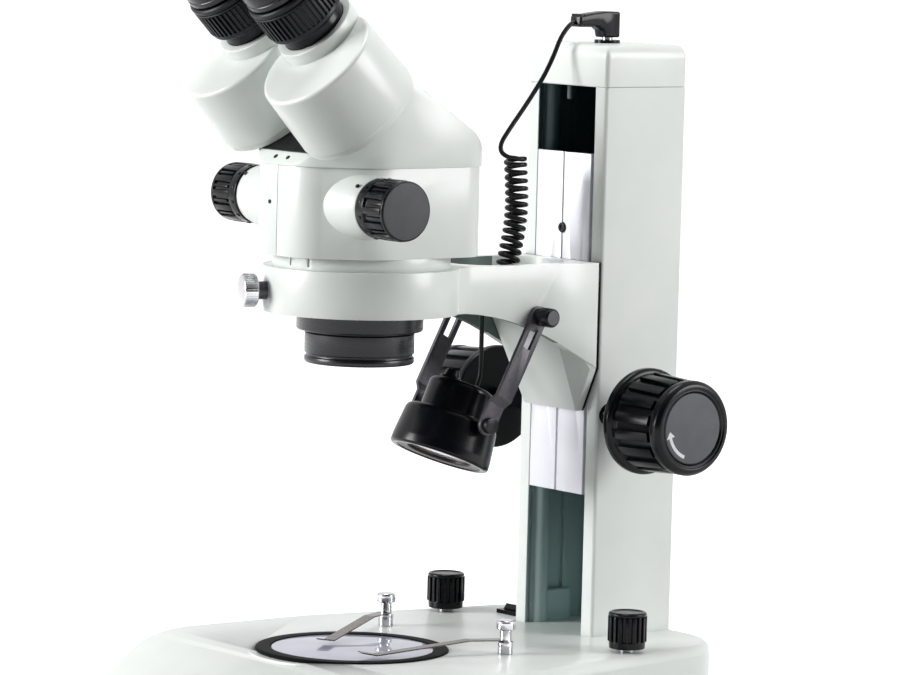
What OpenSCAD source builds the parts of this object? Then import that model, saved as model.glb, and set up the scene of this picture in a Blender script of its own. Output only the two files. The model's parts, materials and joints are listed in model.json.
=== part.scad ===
// Zoom stereo microscope on a pillar stand with a lit base and a side lamp.
// Millimetres, Z up. The origin lies on the table, under the middle of the base.

/* [Base] */
// Length of the base, front to back
base_l = 304; // [280:1:340]
// Width of the base
base_w = 200; // [190:1:240]
// Height of the base casing above its feet
base_h = 46; // [42:1:60]
// Wall of the base casing
base_wall = 3; // [2:0.5:4]
// Radius of the soft shoulder round the top of the base
shoulder_r = 5; // [3:0.5:8]
// Slope of the front of the base in degrees
front_slope = 24; // [12:1:25]
// Length of the sloped front
slope_l = 74; // [50:1:76]
// Radius of a foot
foot_r = 11; // [9:0.5:14]
// Height of a foot
foot_h = 8; // [5:0.5:12]
// Thickness of the bottom plate
plate_t = 1.5; // [1:0.25:2]

/* [Stage] */
// Outside radius of the black stage ring
stage_r = 47.5; // [42:0.5:50]
// Radius of the frosted glass
glass_r = 40; // [34:0.5:40]
// Thickness of the frosted glass
glass_t = 3; // [2:0.5:4]
// Distance of a clip post from the centre line
clip_x = 49; // [46:1:56]
// Distance of a clip post behind the optical axis
clip_y = 57; // [54:1:64]
// Radius of a clip post
clip_post_r = 3; // [2:0.25:4]
// Height of a clip post above the base
clip_post_h = 15; // [12:1:20]
// Length of a clip blade from its post
clip_l = 76; // [60:1:80]

/* [Controls] */
// Radius of a dimmer knob
dimmer_r = 9.75; // [7:0.25:12]
// Height of a dimmer knob
dimmer_h = 20; // [14:1:24]
// Distance of a dimmer from the centre line
dimmer_x = 73.5; // [60:0.5:80]
// Distance of the dimmers behind the middle of the base
dimmer_y = 84; // [70:1:90]
// Length of the rocker switch bezel
switch_l = 21; // [18:1:26]
// Width of the rocker switch bezel
switch_w = 15; // [12:1:18]

/* [Column] */
// Width of the column
column_w = 62; // [56:1:70]
// Depth of the column
column_d = 52; // [46:1:52]
// Height of the column above the base, without its cap
column_h = 275.5; // [240:0.5:320]
// Wall of the column
column_wall = 4; // [3:0.5:5]
// Width of the slot in the front of the column
slot_w = 45; // [42:0.5:46]
// Height of the column cap
cap_h = 21; // [16:1:28]

/* [Focus drive] */
// Height of the pinion above the base
pinion_z = 112; // [100:1:130]
// Radius of the pinion shaft
pinion_shaft_r = 3; // [2.5:0.25:3]
// Tooth pitch of the rack
rack_pitch = 2.5; // [2:0.1:3]
// Number of pinion teeth
pinion_teeth = 10; // [8:1:12]
// Radius of the flange of a focus knob
knob_flange_r = 26.5; // [22:0.5:30]
// Length of a focus knob
knob_l = 39; // [30:1:44]
// Distance of the outer face of a focus knob from the centre line
knob_face_x = 97; // [92:0.5:100]
// Number of ribs round a focus knob
knob_ribs = 17; // [12:1:26]

/* [Carriage] */
// Width of the slide plate
slide_w = 42; // [38:0.5:43]
// Length of the slide plate
slide_l = 171; // [150:1:180]
// Thickness of the slide plate
slide_t = 3.4; // [3:0.1:4]
// Height of the lower end of the slide plate above the base
slide_z = 71; // [60:1:78]
// Inside radius of the head ring
ring_r = 38; // [36:0.5:40]
// Outside radius of the head ring
ring_out_r = 48; // [46:0.5:50]
// Height of the head ring
ring_h = 22.3; // [20:0.1:28]
// Height of the top of the arm above the base
arm_top_z = 188.5; // [180:0.5:194]
// Width of the arm at the column
arm_w = 62; // [56:1:66]

/* [Head] */
// Half width of the lower housing
head_w2 = 43; // [40:0.5:46]
// Reach of the lower housing in front of the optical axis
head_front = 51; // [46:0.5:56]
// Reach of the lower housing behind the optical axis
head_back = 46; // [42:0.5:50]
// Height of the lower housing
lower_h = 43.8; // [40:0.1:50]
// Radius of the objective ring
objective_r = 31; // [29:0.5:33]
// Length of the objective below the arm
objective_l = 25; // [18:1:32]
// Radius of a zoom knob
zoom_r = 14.5; // [11:0.5:16]
// Distance of the outer face of a zoom knob from the centre line
zoom_face_x = 71; // [66:0.5:76]
// Length of a zoom knob
zoom_l = 22; // [16:0.5:22]

/* [Eyepieces] */
// Tilt of the eyepieces from upright in degrees
eye_tilt = 45; // [40:1:50]
// Distance of a prism housing from the centre line
drum_x = 34; // [33.5:0.5:38]
// Radius of a prism housing
drum_r = 31.2; // [28:0.2:32]
// Length of a prism housing
drum_l = 38; // [34:1:44]
// Offset of an eyepiece from the middle of its prism housing
eye_offset = 17.7; // [15:0.1:18]
// Outside radius of a dioptre ring
dioptre_r = 20.5; // [18:0.5:21]
// Inside radius of an eyepiece tube
eye_tube_r = 15; // [11.6:0.1:15.5]

/* [Lamp] */
// Tilt of the lamp from upright in degrees
lamp_tilt = 22; // [0:1:40]
// Radius of the lamp's lower shell
lamp_r = 25.5; // [22:0.5:28]
// Height of the lamp
lamp_h = 46; // [38:1:52]
// Length of a yoke arm between its pivots
yoke_l = 60; // [56:1:66]
// Thickness of the yoke strip
yoke_t = 2; // [1.5:0.25:3]

/* [Layout] */
// Distance of the optical axis in front of the middle of the base
axis_forward = 30; // [26:1:34]
// Distance from the optical axis to the column
reach = 126; // [122:1:126]

/* [Hidden] */

$fn = 48;
e = 0.01;                 // a cut runs past its face by this
run = 0.05;               // radial clearance of a running fit
seat = 0.02;              // radial clearance of a fixed fit
gap = 0.3;                // clearance between moving faces
base_top = foot_h + base_h;
axis_y = -axis_forward;
white = "#E4E9E6";
black = "#15151A";

// ---------- outlines ----------

function unit(v) = v / norm(v);
function turn_left(v) = [-v[1], v[0]];

// Corner b of an anticlockwise outline, moved inwards by d
function inset(a, b, c, d) =
    let (n = turn_left(unit(b - a)), m = turn_left(unit(c - b)))
    b + (n + m) * d / (1 + n * m);

// Arc of radius r that rounds corner b
function round_corner(a, b, c, r, steps) =
    let (u = unit(a - b), v = unit(c - b), half = acos(u * v) / 2,
        centre = b + unit(u + v) * r / sin(half),
        start = b + u * r / tan(half) - centre,
        first = atan2(start[1], start[0]),
        sweep = (cross(u, v) < 0 ? 1 : -1) * (180 - 2 * half))
    [for (i = [0:steps]) centre + r * [cos(first + sweep * i / steps), sin(first + sweep * i / steps)]];

// Outline through corners [x, y, radius], moved inwards by d
function outline(corners, d = 0, steps = 6) =
    let (n = len(corners), p = [for (c = corners) [c[0], c[1]]],
        q = [for (i = [0:n - 1]) inset(p[(i + n - 1) % n], p[i], p[(i + 1) % n], d)])
    [for (i = [0:n - 1]) each round_corner(q[(i + n - 1) % n], q[i], q[(i + 1) % n],
        max(corners[i][2] - d, 0.3), steps)];

// The right half of a symmetric outline, and the whole of it
function both_sides(right) =
    concat(right, [for (i = [len(right) - 1:-1:0]) [-right[i][0], right[i][1]]]);

function box_corners(w, y0, y1, r) = [[-w / 2, y0, r], [w / 2, y0, r], [w / 2, y1, r], [-w / 2, y1, r]];

// Solid between rings of points, closed by strips from side to side at the top
module loft(rings) {
    n = len(rings[0]);
    half = n / 2;
    last = (len(rings) - 1) * n;
    polyhedron(
        points = [for (ring = rings) each ring],
        faces = concat(
            [[for (i = [0:n - 1]) i]],
            [for (k = [0:len(rings) - 2], i = [0:n - 1])
                let (a = k * n + i, b = k * n + (i + 1) % n) each [[a, a + n, b + n], [a, b + n, b]]],
            [for (i = [0:half - 2]) [last + n - 1 - i, last + n - 2 - i, last + i + 1, last + i]]));
}

// ---------- places ----------

module at_axis() translate([0, axis_y, base_top]) children();

// Turns a profile drawn as [y, z] into a slab of width w across X
module slab(w) translate([-w / 2, 0, 0]) rotate([90, 0, 90]) linear_extrude(w) children();

// Cylinder along X from x0 to x1
module bar_x(r, x0, x1) translate([x0, 0, 0]) rotate([0, 90, 0]) cylinder(r = r, h = x1 - x0);

module scale_x(side) if (side > 0) children(); else mirror([1, 0, 0]) children();

module ring_of(n, r) for (i = [0:n - 1]) rotate([0, 0, i * 360 / n]) translate([r, 0, 0]) children();

// ---------- base ----------

bend_y = -base_l / 2 + slope_l;
bend_r = 16;              // half length of the soft bend before the slope
front_corner = [0.36 * base_w, -base_l / 2, 36];
side_front = [base_w / 2, -base_l / 2 + 60, 60];
side_rear = [base_w / 2, 10, 60];
rear_corner = [0.375 * base_w, base_l / 2, 38];

function base_right(d) =
    let (all = [[-front_corner[0], front_corner[1]], [front_corner[0], front_corner[1]],
            [side_front[0], side_front[1]], [side_rear[0], side_rear[1]],
            [rear_corner[0], rear_corner[1]], [-rear_corner[0], rear_corner[1]]],
        q = [for (i = [1:4]) inset(all[i - 1], all[i], all[i + 1], d)],
        first = [-q[0][0], q[0][1]], last = [-q[3][0], q[3][1]])
    concat(round_corner(first, q[0], q[1], front_corner[2] - d, 7),
        round_corner(q[0], q[1], q[2], side_front[2] - d, 5),
        [for (t = [5, 10, bend_r]) [base_w / 2 - d, bend_y + t]],
        round_corner(q[1], q[2], q[3], side_rear[2] - d, 4),
        round_corner(q[2], q[3], last, rear_corner[2] - d, 8));

function slope_drop(y) =
    let (t = bend_y - y, k = tan(front_slope))
    t <= -bend_r ? 0 : t >= bend_r ? k * t : k * pow(t + bend_r, 2) / (4 * bend_r);

function base_ring(d, down) =
    [for (p = both_sides(base_right(d))) [p[0], p[1], base_top - slope_drop(p[1]) - down]];

// Form of the base, inset by d all round and lowered by d at the top
module base_form(d, z0) {
    foot = [for (p = both_sides(base_right(d))) [p[0], p[1], z0]];
    loft(concat([foot], [for (a = [0:22.5:90])
        base_ring(d + shoulder_r * (1 - cos(a)), d + shoulder_r * (1 - sin(a)))]));
}

foot_front = [0.35 * base_w, -base_l / 2 + 48];
foot_rear = [0.31 * base_w, base_l / 2 - 31];
foot_places = [for (p = [foot_front, foot_rear], side = [-1, 1]) [side * p[0], p[1]]];
post_r = 5;
base_screw_r = 2;
seat_depth = 5;           // the stage ring stands this deep in the base
seat_wall = 4;
column_screw_r = 2.5;
port_r = 4.5;
port_x = column_w / 2 - column_wall - port_r + 0.6;
column_front = axis_y + reach;
column_back = column_front + column_d;
flange_t = 5;
port_front_y = column_front + flange_t + port_r - 0.5;
port_back_y = column_back - column_wall - port_r + 0.6;
switch_place = [-48, column_front + 18];
rocker_pin_r = 1.2;
rocker_pin_z = -0.5;      // the rocker turns this far from the top of the base
pot_r = 8;
inlet_r = 5.4;
inlet_bore_r = 2.85;
inlet_x = 20;
inlet_z = foot_h + 22;

module at_ports() for (x = [-port_x, port_x], y = [port_front_y, port_back_y]) translate([x, y, 0]) children();
module at_feet() for (p = foot_places) translate([p[0], p[1], 0]) children();
module at_dimmers() for (x = [-dimmer_x, dimmer_x]) translate([x, dimmer_y, base_top]) children();

module base_housing() color(white) difference() {
    union() {
        difference() {
            base_form(0, foot_h);
            base_form(base_wall, foot_h - 1);
        }
        at_axis() translate([0, 0, -seat_depth - seat_wall]) cylinder(r = stage_r + seat_wall, h = seat_depth + seat_wall - 1);
        for (p = foot_places) translate([p[0], p[1], foot_h + plate_t])
            cylinder(r = post_r, h = base_h - slope_drop(p[1] - post_r) - plate_t - 1);
        translate([0, 0, base_top - 2 * base_wall - 1]) linear_extrude(2 * base_wall)
            polygon(outline(box_corners(column_w, column_front, column_back - 4, 4)));
    }
    at_axis() {
        translate([0, 0, -seat_depth]) cylinder(r = stage_r + seat, h = seat_depth + 1);
        translate([0, 0, -20]) cylinder(r = glass_r - 2, h = 30);
        for (x = [-clip_x, clip_x]) translate([x, clip_y, -10]) cylinder(r = clip_post_r / 2 + run, h = 20);
    }
    at_feet() translate([0, 0, foot_h - 1]) cylinder(r = base_screw_r - 0.1 + 2 * seat, h = 16);
    at_ports() translate([0, 0, base_top - 20]) cylinder(r = column_screw_r + 0.3, h = 30);
    at_dimmers() {
        translate([0, 0, -10]) cylinder(r = 4 + seat, h = 20);
        translate([0, 0, -16]) cylinder(r = pot_r + gap, h = 16 - base_wall);
    }
    translate([switch_place[0] - switch_w / 2 + 1, switch_place[1] - switch_l / 2 + 1, base_top - 10])
        cube([switch_w - 2, switch_l - 2, 20]);
    translate([inlet_x, base_l / 2 + 1, inlet_z]) rotate([90, 0, 0]) cylinder(r = inlet_r + seat, h = 12);
    translate([0, (column_front + column_back) / 2, base_top - 20]) cylinder(r = 6, h = 30);
}

module bottom_plate() color("#55595C") difference() {
    translate([0, 0, foot_h]) linear_extrude(plate_t) polygon(both_sides(base_right(base_wall + gap)));
    at_feet() translate([0, 0, foot_h - 1]) cylinder(r = base_screw_r + 0.2, h = plate_t + 2);
    for (x = [-36:6:36]) translate([x - 1, foot_front[1] + 19, foot_h - 1]) cube([2, 22, plate_t + 2]);
}

module rubber_feet() color("#1B1B1D") at_feet() difference() {
    rotate_extrude() polygon([[0, 0], [foot_r - 1, 0], [foot_r, 1], [foot_r - 0.5, foot_h], [0, foot_h]]);
    translate([0, 0, -1]) cylinder(r = 2 * base_screw_r + 0.4, h = foot_h - 3 + 1);
    translate([0, 0, -1]) cylinder(r = base_screw_r + 0.2, h = foot_h + 2);
}

module pan_screw(r, l, head_r, head_h) {
    difference() {
        rotate_extrude() polygon([[0, -head_h], [head_r - 0.5, -head_h], [head_r, -head_h + 0.5], [head_r, 0],
            [r, 0], [r, l - 0.4], [r - 0.4, l], [0, l]]);
        for (a = [0, 90]) rotate([0, 0, a]) translate([-head_r * 0.6, -0.4, -head_h - e]) cube([head_r * 1.2, 0.8, head_h * 0.5]);
    }
}

module base_screws() color("#B9BCC0") {
    at_feet() translate([0, 0, foot_h - 3]) pan_screw(base_screw_r - 0.1, 16, 2 * base_screw_r, 2.5);
    at_ports() translate([0, 0, base_top - 2 * base_wall - 1]) pan_screw(column_screw_r - seat, 18, 4.5, 3.5);
}

module stage_ring() color(black) at_axis() rotate_extrude() polygon([
    [glass_r - 3, -seat_depth], [stage_r, -seat_depth], [stage_r, 0.3], [stage_r - 0.6, 0.8],
    [glass_r + 0.6, 0.8], [glass_r + seat, 0.3], [glass_r + seat, -glass_t], [glass_r - 3, -glass_t]]);

module stage_glass() color("#D5D6E4") at_axis() translate([0, 0, -glass_t])
    rotate_extrude() polygon([[0, 0], [glass_r, 0], [glass_r, glass_t], [glass_r - 0.4, glass_t + 0.4], [0, glass_t + 0.4]]);

board_z = -26;            // top of the light board, from the top of the base
board_t = 1.6;
board_r = glass_r - 7;
module led_board() color("#EDEDE6") at_axis() {
    translate([0, 0, board_z - board_t]) cylinder(r = board_r, h = board_t);
    for (r = [0.3, 0.6, 0.85] * board_r) ring_of(round(r / 2) + 1, r) translate([-1.7, -1.7, board_z]) cube([3.4, 3.4, 1.4]);
    ring_of(3, board_r - 5) rotate([0, 0, 30]) translate([0, 0, foot_h + plate_t - base_top])
        cylinder(r = 3, h = base_h - plate_t + board_z - board_t);
}

module power_inlet() color(black) translate([inlet_x, base_l / 2 - 0.6, inlet_z]) rotate([90, 0, 0]) difference() {
    union() {
        cylinder(r = inlet_r, h = 10);
        translate([0, 0, base_wall + 0.6]) cylinder(r = 7, h = 2.4);
    }
    translate([0, 0, -1]) cylinder(r = inlet_bore_r, h = 10);
}

module dimmer_pots() color("#8E9296") at_dimmers() {
    translate([0, 0, -base_wall - 10]) cylinder(r = pot_r, h = 10);
    translate([0, 0, -base_wall]) cylinder(r = 4, h = base_wall + 1.5);
    translate([0, 0, 1.5]) cylinder(r = 3, h = dimmer_h * 0.6);
}

module switch_frame() color(black) translate([switch_place[0], switch_place[1], base_top]) difference() {
    union() {
        translate([-switch_w / 2, -switch_l / 2, 0]) cube([switch_w, switch_l, 2]);
        translate([-switch_w / 2 + 1.2, -switch_l / 2 + 1.2, -12]) cube([switch_w - 2.4, switch_l - 2.4, 12.5]);
    }
    translate([-switch_w / 2 + 2.2, -switch_l / 2 + 2.2, -6]) cube([switch_w - 4.4, switch_l - 4.4, 12]);
    translate([0, 0, rocker_pin_z]) bar_x(rocker_pin_r + run, -switch_w / 2 + 1.7, switch_w / 2 - 1.7);
}

module power_rocker() color("#202024") translate([switch_place[0], switch_place[1], base_top]) difference() {
    union() {
        slab(switch_w - 5) polygon([[-7.6, 2.5], [-6, 4.9], [0, 3.1], [6, 6.1], [7.6, 5.1], [6.5, -0.5], [2, -3.1],
            [-2, -3.1], [-6.5, -1.5]]);
        translate([0, 0, rocker_pin_z]) bar_x(rocker_pin_r, -switch_w / 2 + 1.9, switch_w / 2 - 1.9);
    }
    for (y = [-5, 5.6]) translate([0, y, 6.5]) cube([4, 1, 4], center = true);
}

// ---------- column ----------

module column_section() difference() {
    polygon(outline(box_corners(column_w, column_front, column_back, 4)));
    difference() {
        polygon(outline(box_corners(column_w - 2 * column_wall, column_front + flange_t, column_back - column_wall, 2)));
        at_ports() circle(port_r);
        for (x = [-1, 1]) translate([x * (slot_w / 2 + 1) - 1, column_front + flange_t - e]) square([2, 5]);
        for (x = [-10, 10]) translate([x - 1, column_back - column_wall - 4]) square([2, 5]);
    }
    translate([-slot_w / 2, column_front - 1]) square([slot_w, flange_t + 2]);
    translate([-slot_w / 2 - tongue_l - 0.2, slide_back - tongue_t - 0.2]) square([slot_w + 2 * tongue_l + 0.4, tongue_t + 0.4]);
    at_ports() circle(column_screw_r);
}

slide_front = column_front - 0.6;
slide_back = slide_front + slide_t;
tongue_t = 1.4;
tongue_l = 1.2;           // a tongue of the slide plate reaches this far into the column's groove
pitch_r = pinion_teeth * rack_pitch / 360 * 180 / PI;
pitch_y = slide_back + 0.3;
pinion_y = pitch_y + pitch_r;
tooth_up = 0.7;
tooth_down = 0.95;
bush_r = 6;
sleeve_r = 9;
knob_x = knob_face_x - knob_l;

module at_pinion() translate([0, pinion_y, base_top + pinion_z]) children();

module column() color(white) difference() {
    translate([0, 0, base_top]) linear_extrude(column_h) column_section();
    at_pinion() {
        bar_x(bush_r + seat, -column_w, -column_w / 2 + column_wall + 2);
        bar_x(bush_r + seat, column_w / 2 - column_wall - 2, column_w);
        bar_x(pitch_r + 0.4, -column_w / 2, column_w / 2);
    }
}

socket_y = axis_y + reach + 25;
cap_round = 8;

module column_cap() color(white) difference() {
    translate([0, 0, base_top + column_h]) hull() {
        linear_extrude(e) polygon(outline(box_corners(column_w, column_front, column_back, 4)));
        for (a = [0:18:90]) translate([0, 0, cap_h - e - cap_round * (1 - sin(a))]) linear_extrude(e)
            polygon(outline(box_corners(column_w, column_front, column_back, 9), 0.6 * cap_round * (1 - cos(a))));
    }
    translate([0, socket_y, base_top + column_h - 1]) cylinder(r = 7, h = cap_h - 3);
    translate([0, socket_y, base_top + column_h]) cylinder(r = 5 + seat, h = cap_h + 2);
}

module lamp_socket() color(black) translate([0, socket_y, base_top + column_h + cap_h]) difference() {
    union() {
        cylinder(r = 6.5, h = 1.6);
        translate([0, 0, -14]) cylinder(r = 5, h = 14);
    }
    translate([0, 0, -11]) cylinder(r = 2.85, h = 14);
}

module pinion_bushes() color("#2A2B2E") at_pinion() for (side = [-1, 1]) scale_x(side) difference() {
    union() {
        bar_x(bush_r, column_w / 2 - column_wall - 1, column_w / 2);
        bar_x(sleeve_r, column_w / 2, knob_x - gap);
    }
    bar_x(pinion_shaft_r + run, 0, knob_x + 1);
}

// ---------- focus drive ----------

rack_w = 7.6;
gear_w = rack_w - 2 * gap;

function tooth_angle(half, r) = half / r * 180 / PI;

module pinion_section() polygon([for (i = [0:pinion_teeth - 1])
    let (a = 180 + i * 360 / pinion_teeth, root = pitch_r - tooth_down, tip = pitch_r + tooth_up,
        w = [tooth_angle(0.72, root), tooth_angle(rack_pitch / 5.4, pitch_r), tooth_angle(0.22, tip)])
    for (p = [[root, -w[0]], [pitch_r, -w[1]], [tip, -w[2]], [tip, w[2]], [pitch_r, w[1]], [root, w[0]]])
        p[0] * [cos(a + p[1]), sin(a + p[1])]]);

module pinion_shaft() color("#C2C5C9") at_pinion() {
    bar_x(pinion_shaft_r, -knob_face_x + 8, knob_face_x - 8);
    // the profile's first tooth points at the rack, which lies on the -Y side
    translate([-gear_w / 2, 0, 0]) rotate([90, 0, 90]) linear_extrude(gear_w) pinion_section();
}

// Ribbed focus knob with its flange at x = 0, turned along X
module focus_knob() rotate([0, 90, 0]) difference() {
    rotate_extrude() polygon(concat(
        [[0, 0], [knob_flange_r - 1, 0], [knob_flange_r, 1], [knob_flange_r, 4], [knob_flange_r - 0.8, 5]],
        [[knob_flange_r - 3, 5.5], [knob_flange_r - 1.8, 7], [knob_flange_r - 3.2, knob_l - 8]],
        [[knob_flange_r - 3.8, knob_l - 7], [knob_flange_r - 3.2, knob_l - 6], [knob_flange_r - 3, knob_l - 2]],
        [[knob_flange_r - 4.6, knob_l - 0.3], [knob_flange_r - 6.6, knob_l], [knob_flange_r - 8, knob_l - 1.4]],
        [[knob_flange_r - 8.6, knob_l - 1.4], [knob_flange_r - 9, knob_l - 0.8], [0, knob_l - 0.8]]));
    translate([0, 0, -1]) cylinder(r = pinion_shaft_r + seat, h = knob_l - 7);
    ring_of(knob_ribs, knob_flange_r - 1.2) translate([0, 0, 7.5]) rotate([0, -3, 0])
        cylinder(r = 1.9, h = knob_l - 16, $fn = 6);
}

module focus_knob_right() color(black) at_pinion() translate([knob_x, 0, 0]) focus_knob();
module focus_knob_left() color(black) at_pinion() mirror([1, 0, 0]) translate([knob_x, 0, 0]) focus_knob();

// ---------- carriage ----------

rack_bed = 1.6;
rack_l = slide_l - 10;
arm_y = reach - 0.6;      // the arm meets the slide plate here, measured from the optical axis

module slide_plate() color("#EFEFF3") translate([0, 0, base_top + slide_z]) difference() {
    union() {
        translate([-slide_w / 2, slide_front, 0]) cube([slide_w, slide_t, slide_l]);
        translate([-slot_w / 2 - tongue_l, slide_back - tongue_t, 0]) cube([slot_w + 2 * tongue_l, tongue_t, slide_l]);
    }
    translate([-rack_w / 2 - seat, slide_back - rack_bed, -1]) cube([rack_w + 2 * seat, rack_bed + 1, slide_l + 2]);
    translate([-1, slide_front - 1, -1]) cube([2, 1.8, slide_l + 2]);
    for (z = arm_screw_z) translate([0, slide_front - 1, z - slide_z]) rotate([-90, 0, 0]) for (x = [-12, 12])
        translate([x, 0, 0]) cylinder(r = arm_screw_r + 0.2, h = slide_t + 2);
}

module focus_rack() color("#C9A95C") translate([0, 0, base_top + pinion_z]) slab(rack_w) polygon(
    let (bed = slide_back - rack_bed, root = pitch_y - tooth_down, tip = pitch_y + tooth_up,
        low = slide_z + 5 - pinion_z, n0 = ceil(low / rack_pitch) + 1,
        n1 = floor((low + rack_l) / rack_pitch) - 2)
    concat([[bed, low]], [[root, low]],
        [for (k = [n0:n1]) let (z = (k + 0.5) * rack_pitch)
            for (p = [[root, -0.75], [pitch_y, -0.45], [tip, -0.2], [tip, 0.2], [pitch_y, 0.45], [root, 0.75]])
                [p[0], z + p[1]]],
        [[root, low + rack_l], [bed, low + rack_l]]));

arm_wall = 5;
arm_floor = 4;
well_z = arm_top_z - 16;  // underside of the floor of the arm's well
fillet_r = 20;
neck_w = arm_w / 2 - 2;   // half width of the arm where it leaves the ring
lead_y = 75.5;            // the lamp's lead drops through the arm here
lead_r = 1.25;
wedge_w = slide_w / 2 - 0.5;
wedge_h = 75;             // the wedge under the arm reaches this far below its top
bracket_y = 86;
bracket_z = arm_top_z - 25.2;
clamp_angle = 250;        // direction of the clamp screw round the ring
arm_screw_r = 2;
arm_screw_z = [arm_top_z - 28, arm_top_z - 46];

function arm_plan() =
    let (cx = neck_w + fillet_r, reach_r = ring_out_r + fillet_r, cy = sqrt(reach_r * reach_r - cx * cx),
        a0 = atan2(-cy, -cx))
    both_sides(concat([[0, 0], [ring_out_r * cx / reach_r - 2, ring_out_r * cy / reach_r - 2]],
        [for (i = [0:6]) let (a = a0 - i * (a0 + 180) / 6) [cx + fillet_r * cos(a), cy + fillet_r * sin(a)]],
        [[arm_w / 2, arm_y - 24], [arm_w / 2, arm_y]]));

module arm_side() polygon(concat([[-ring_out_r, arm_top_z], [-ring_out_r, arm_top_z - ring_h]],
    [for (t = [0:0.125:1]) [34 + 66 * t, arm_top_z - ring_h - 16.9 * t * t]],
    [[arm_y, arm_top_z - 53], [arm_y, arm_top_z]]));

module focus_arm() color(white) at_axis() difference() {
    union() {
        translate([0, 0, arm_top_z - ring_h]) cylinder(r = ring_out_r, h = ring_h);
        intersection() {
            translate([0, 0, arm_top_z - 60]) linear_extrude(60) polygon(arm_plan());
            slab(arm_w + 1) arm_side();
            difference() {
                translate([-arm_w, 0, 0]) cube([2 * arm_w, arm_y, arm_top_z]);
                slab(arm_w - 2 * arm_wall) polygon([[ring_out_r + 2, 0], [ring_out_r + 2, well_z],
                    [arm_y - 12, well_z], [arm_y - 12, 0]]);
            }
        }
        hull() {
            translate([-wedge_w, arm_y - 5, arm_top_z - wedge_h]) cube([2 * wedge_w, 5, e]);
            translate([-arm_w / 2 + 0.1, arm_y - 5, arm_top_z - 53]) cube([arm_w - 0.2, 5, e]);
            translate([-arm_w / 2 + arm_wall, arm_y - 30, well_z - 1]) cube([arm_w - 2 * arm_wall, 30, 1]);
        }
    }
    translate([0, 0, arm_top_z - ring_h - 1]) cylinder(r = ring_r, h = ring_h + 2);
    translate([0, 0, well_z + arm_floor]) linear_extrude(20)
        polygon(outline(box_corners(arm_w - 3 * arm_wall, ring_out_r + 4, arm_y - 8, 18)));
    translate([0, lead_y, well_z - 1]) cylinder(r = lead_r + 1.4, h = arm_floor + 2);
    for (side = [-1, 1]) translate([0, bracket_y, bracket_z]) scale_x(side)
        bar_x(2 + seat, arm_w / 2 - 14, arm_w / 2 + 1);
    rotate([0, 0, clamp_angle]) translate([0, 0, arm_top_z - 12]) bar_x(3 + run, ring_r - 2, ring_out_r + 2);
    for (z = arm_screw_z, x = [-12, 12]) translate([x, arm_y + 1, z]) rotate([90, 0, 0]) cylinder(r = arm_screw_r + seat, h = 13);
}

module arm_screws() color("#26272A") at_axis() for (z = arm_screw_z, x = [-12, 12])
    translate([x, arm_y + slide_t - 0.4, z]) rotate([90, 0, 0]) cylinder(r = arm_screw_r, h = 14);

// Knurled thumb screw along X: the shank reaches back to x = -shank
module thumb_screw(r, h, shank_r, shank, flutes) {
    difference() {
        rotate([0, 90, 0]) rotate_extrude() polygon([[0, 0], [r - 0.6, 0], [r, 0.6], [r, h - 0.6], [r - 0.6, h], [0, h]]);
        rotate([0, 90, 0]) ring_of(flutes, r + 0.15) translate([0, 0, -1]) cylinder(r = 0.45, h = h + 2, $fn = 4);
    }
    bar_x(shank_r, -shank, 1);
}

module head_clamp_knob() color("#D9DADB") at_axis() rotate([0, 0, clamp_angle])
    translate([ring_out_r + 1.2, 0, arm_top_z - 12]) thumb_screw(8.2, 11, 3, ring_out_r - ring_r - 0.2, 30);

// ---------- head ----------

flange_r = 43.5;
flange_h = 6.4;
stub_r = ring_r - run;
lower_z = arm_top_z + flange_h;
seam_z = lower_z + lower_h;
head_wall = 3.5;
barrel_r = 26.8;
thread_r = 24;            // M48 x 0.75 thread for auxiliary lenses
objective_z = arm_top_z - ring_h - objective_l;
zoom_y = -26.7;
zoom_z = arm_top_z + 32;
boss_r = 15.5;
zoom_shaft_r = 4;

head_right = [[18, -head_front, 22], [head_w2, -22, 28], [head_w2, head_back, 15]];

// Outline of the head, let out by grow
function head_plan(grow = 0) = outline(concat([[-18, -head_front, 22]], head_right,
    [[-head_w2, head_back, 15], [-head_w2, -22, 28]]), -grow);

module head_flange() color(white) at_axis() difference() {
    union() {
        translate([0, 0, arm_top_z]) cylinder(r = flange_r, h = flange_h);
        translate([0, 0, arm_top_z - ring_h + 2]) cylinder(r = stub_r, h = ring_h);
    }
    translate([0, 0, arm_top_z - ring_h]) cylinder(r = objective_r + seat, h = ring_h + flange_h + 1);
    rotate_extrude() polygon([[stub_r - 1.2, arm_top_z - 15], [stub_r + 1, arm_top_z - 17.2],
        [stub_r + 1, arm_top_z - 6.8], [stub_r - 1.2, arm_top_z - 9]]);
    for (a = [272, 288]) rotate([0, 0, a]) translate([flange_r - 0.8, -0.6, arm_top_z + 1.5]) cube([2, 1.2, flange_h]);
}

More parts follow.
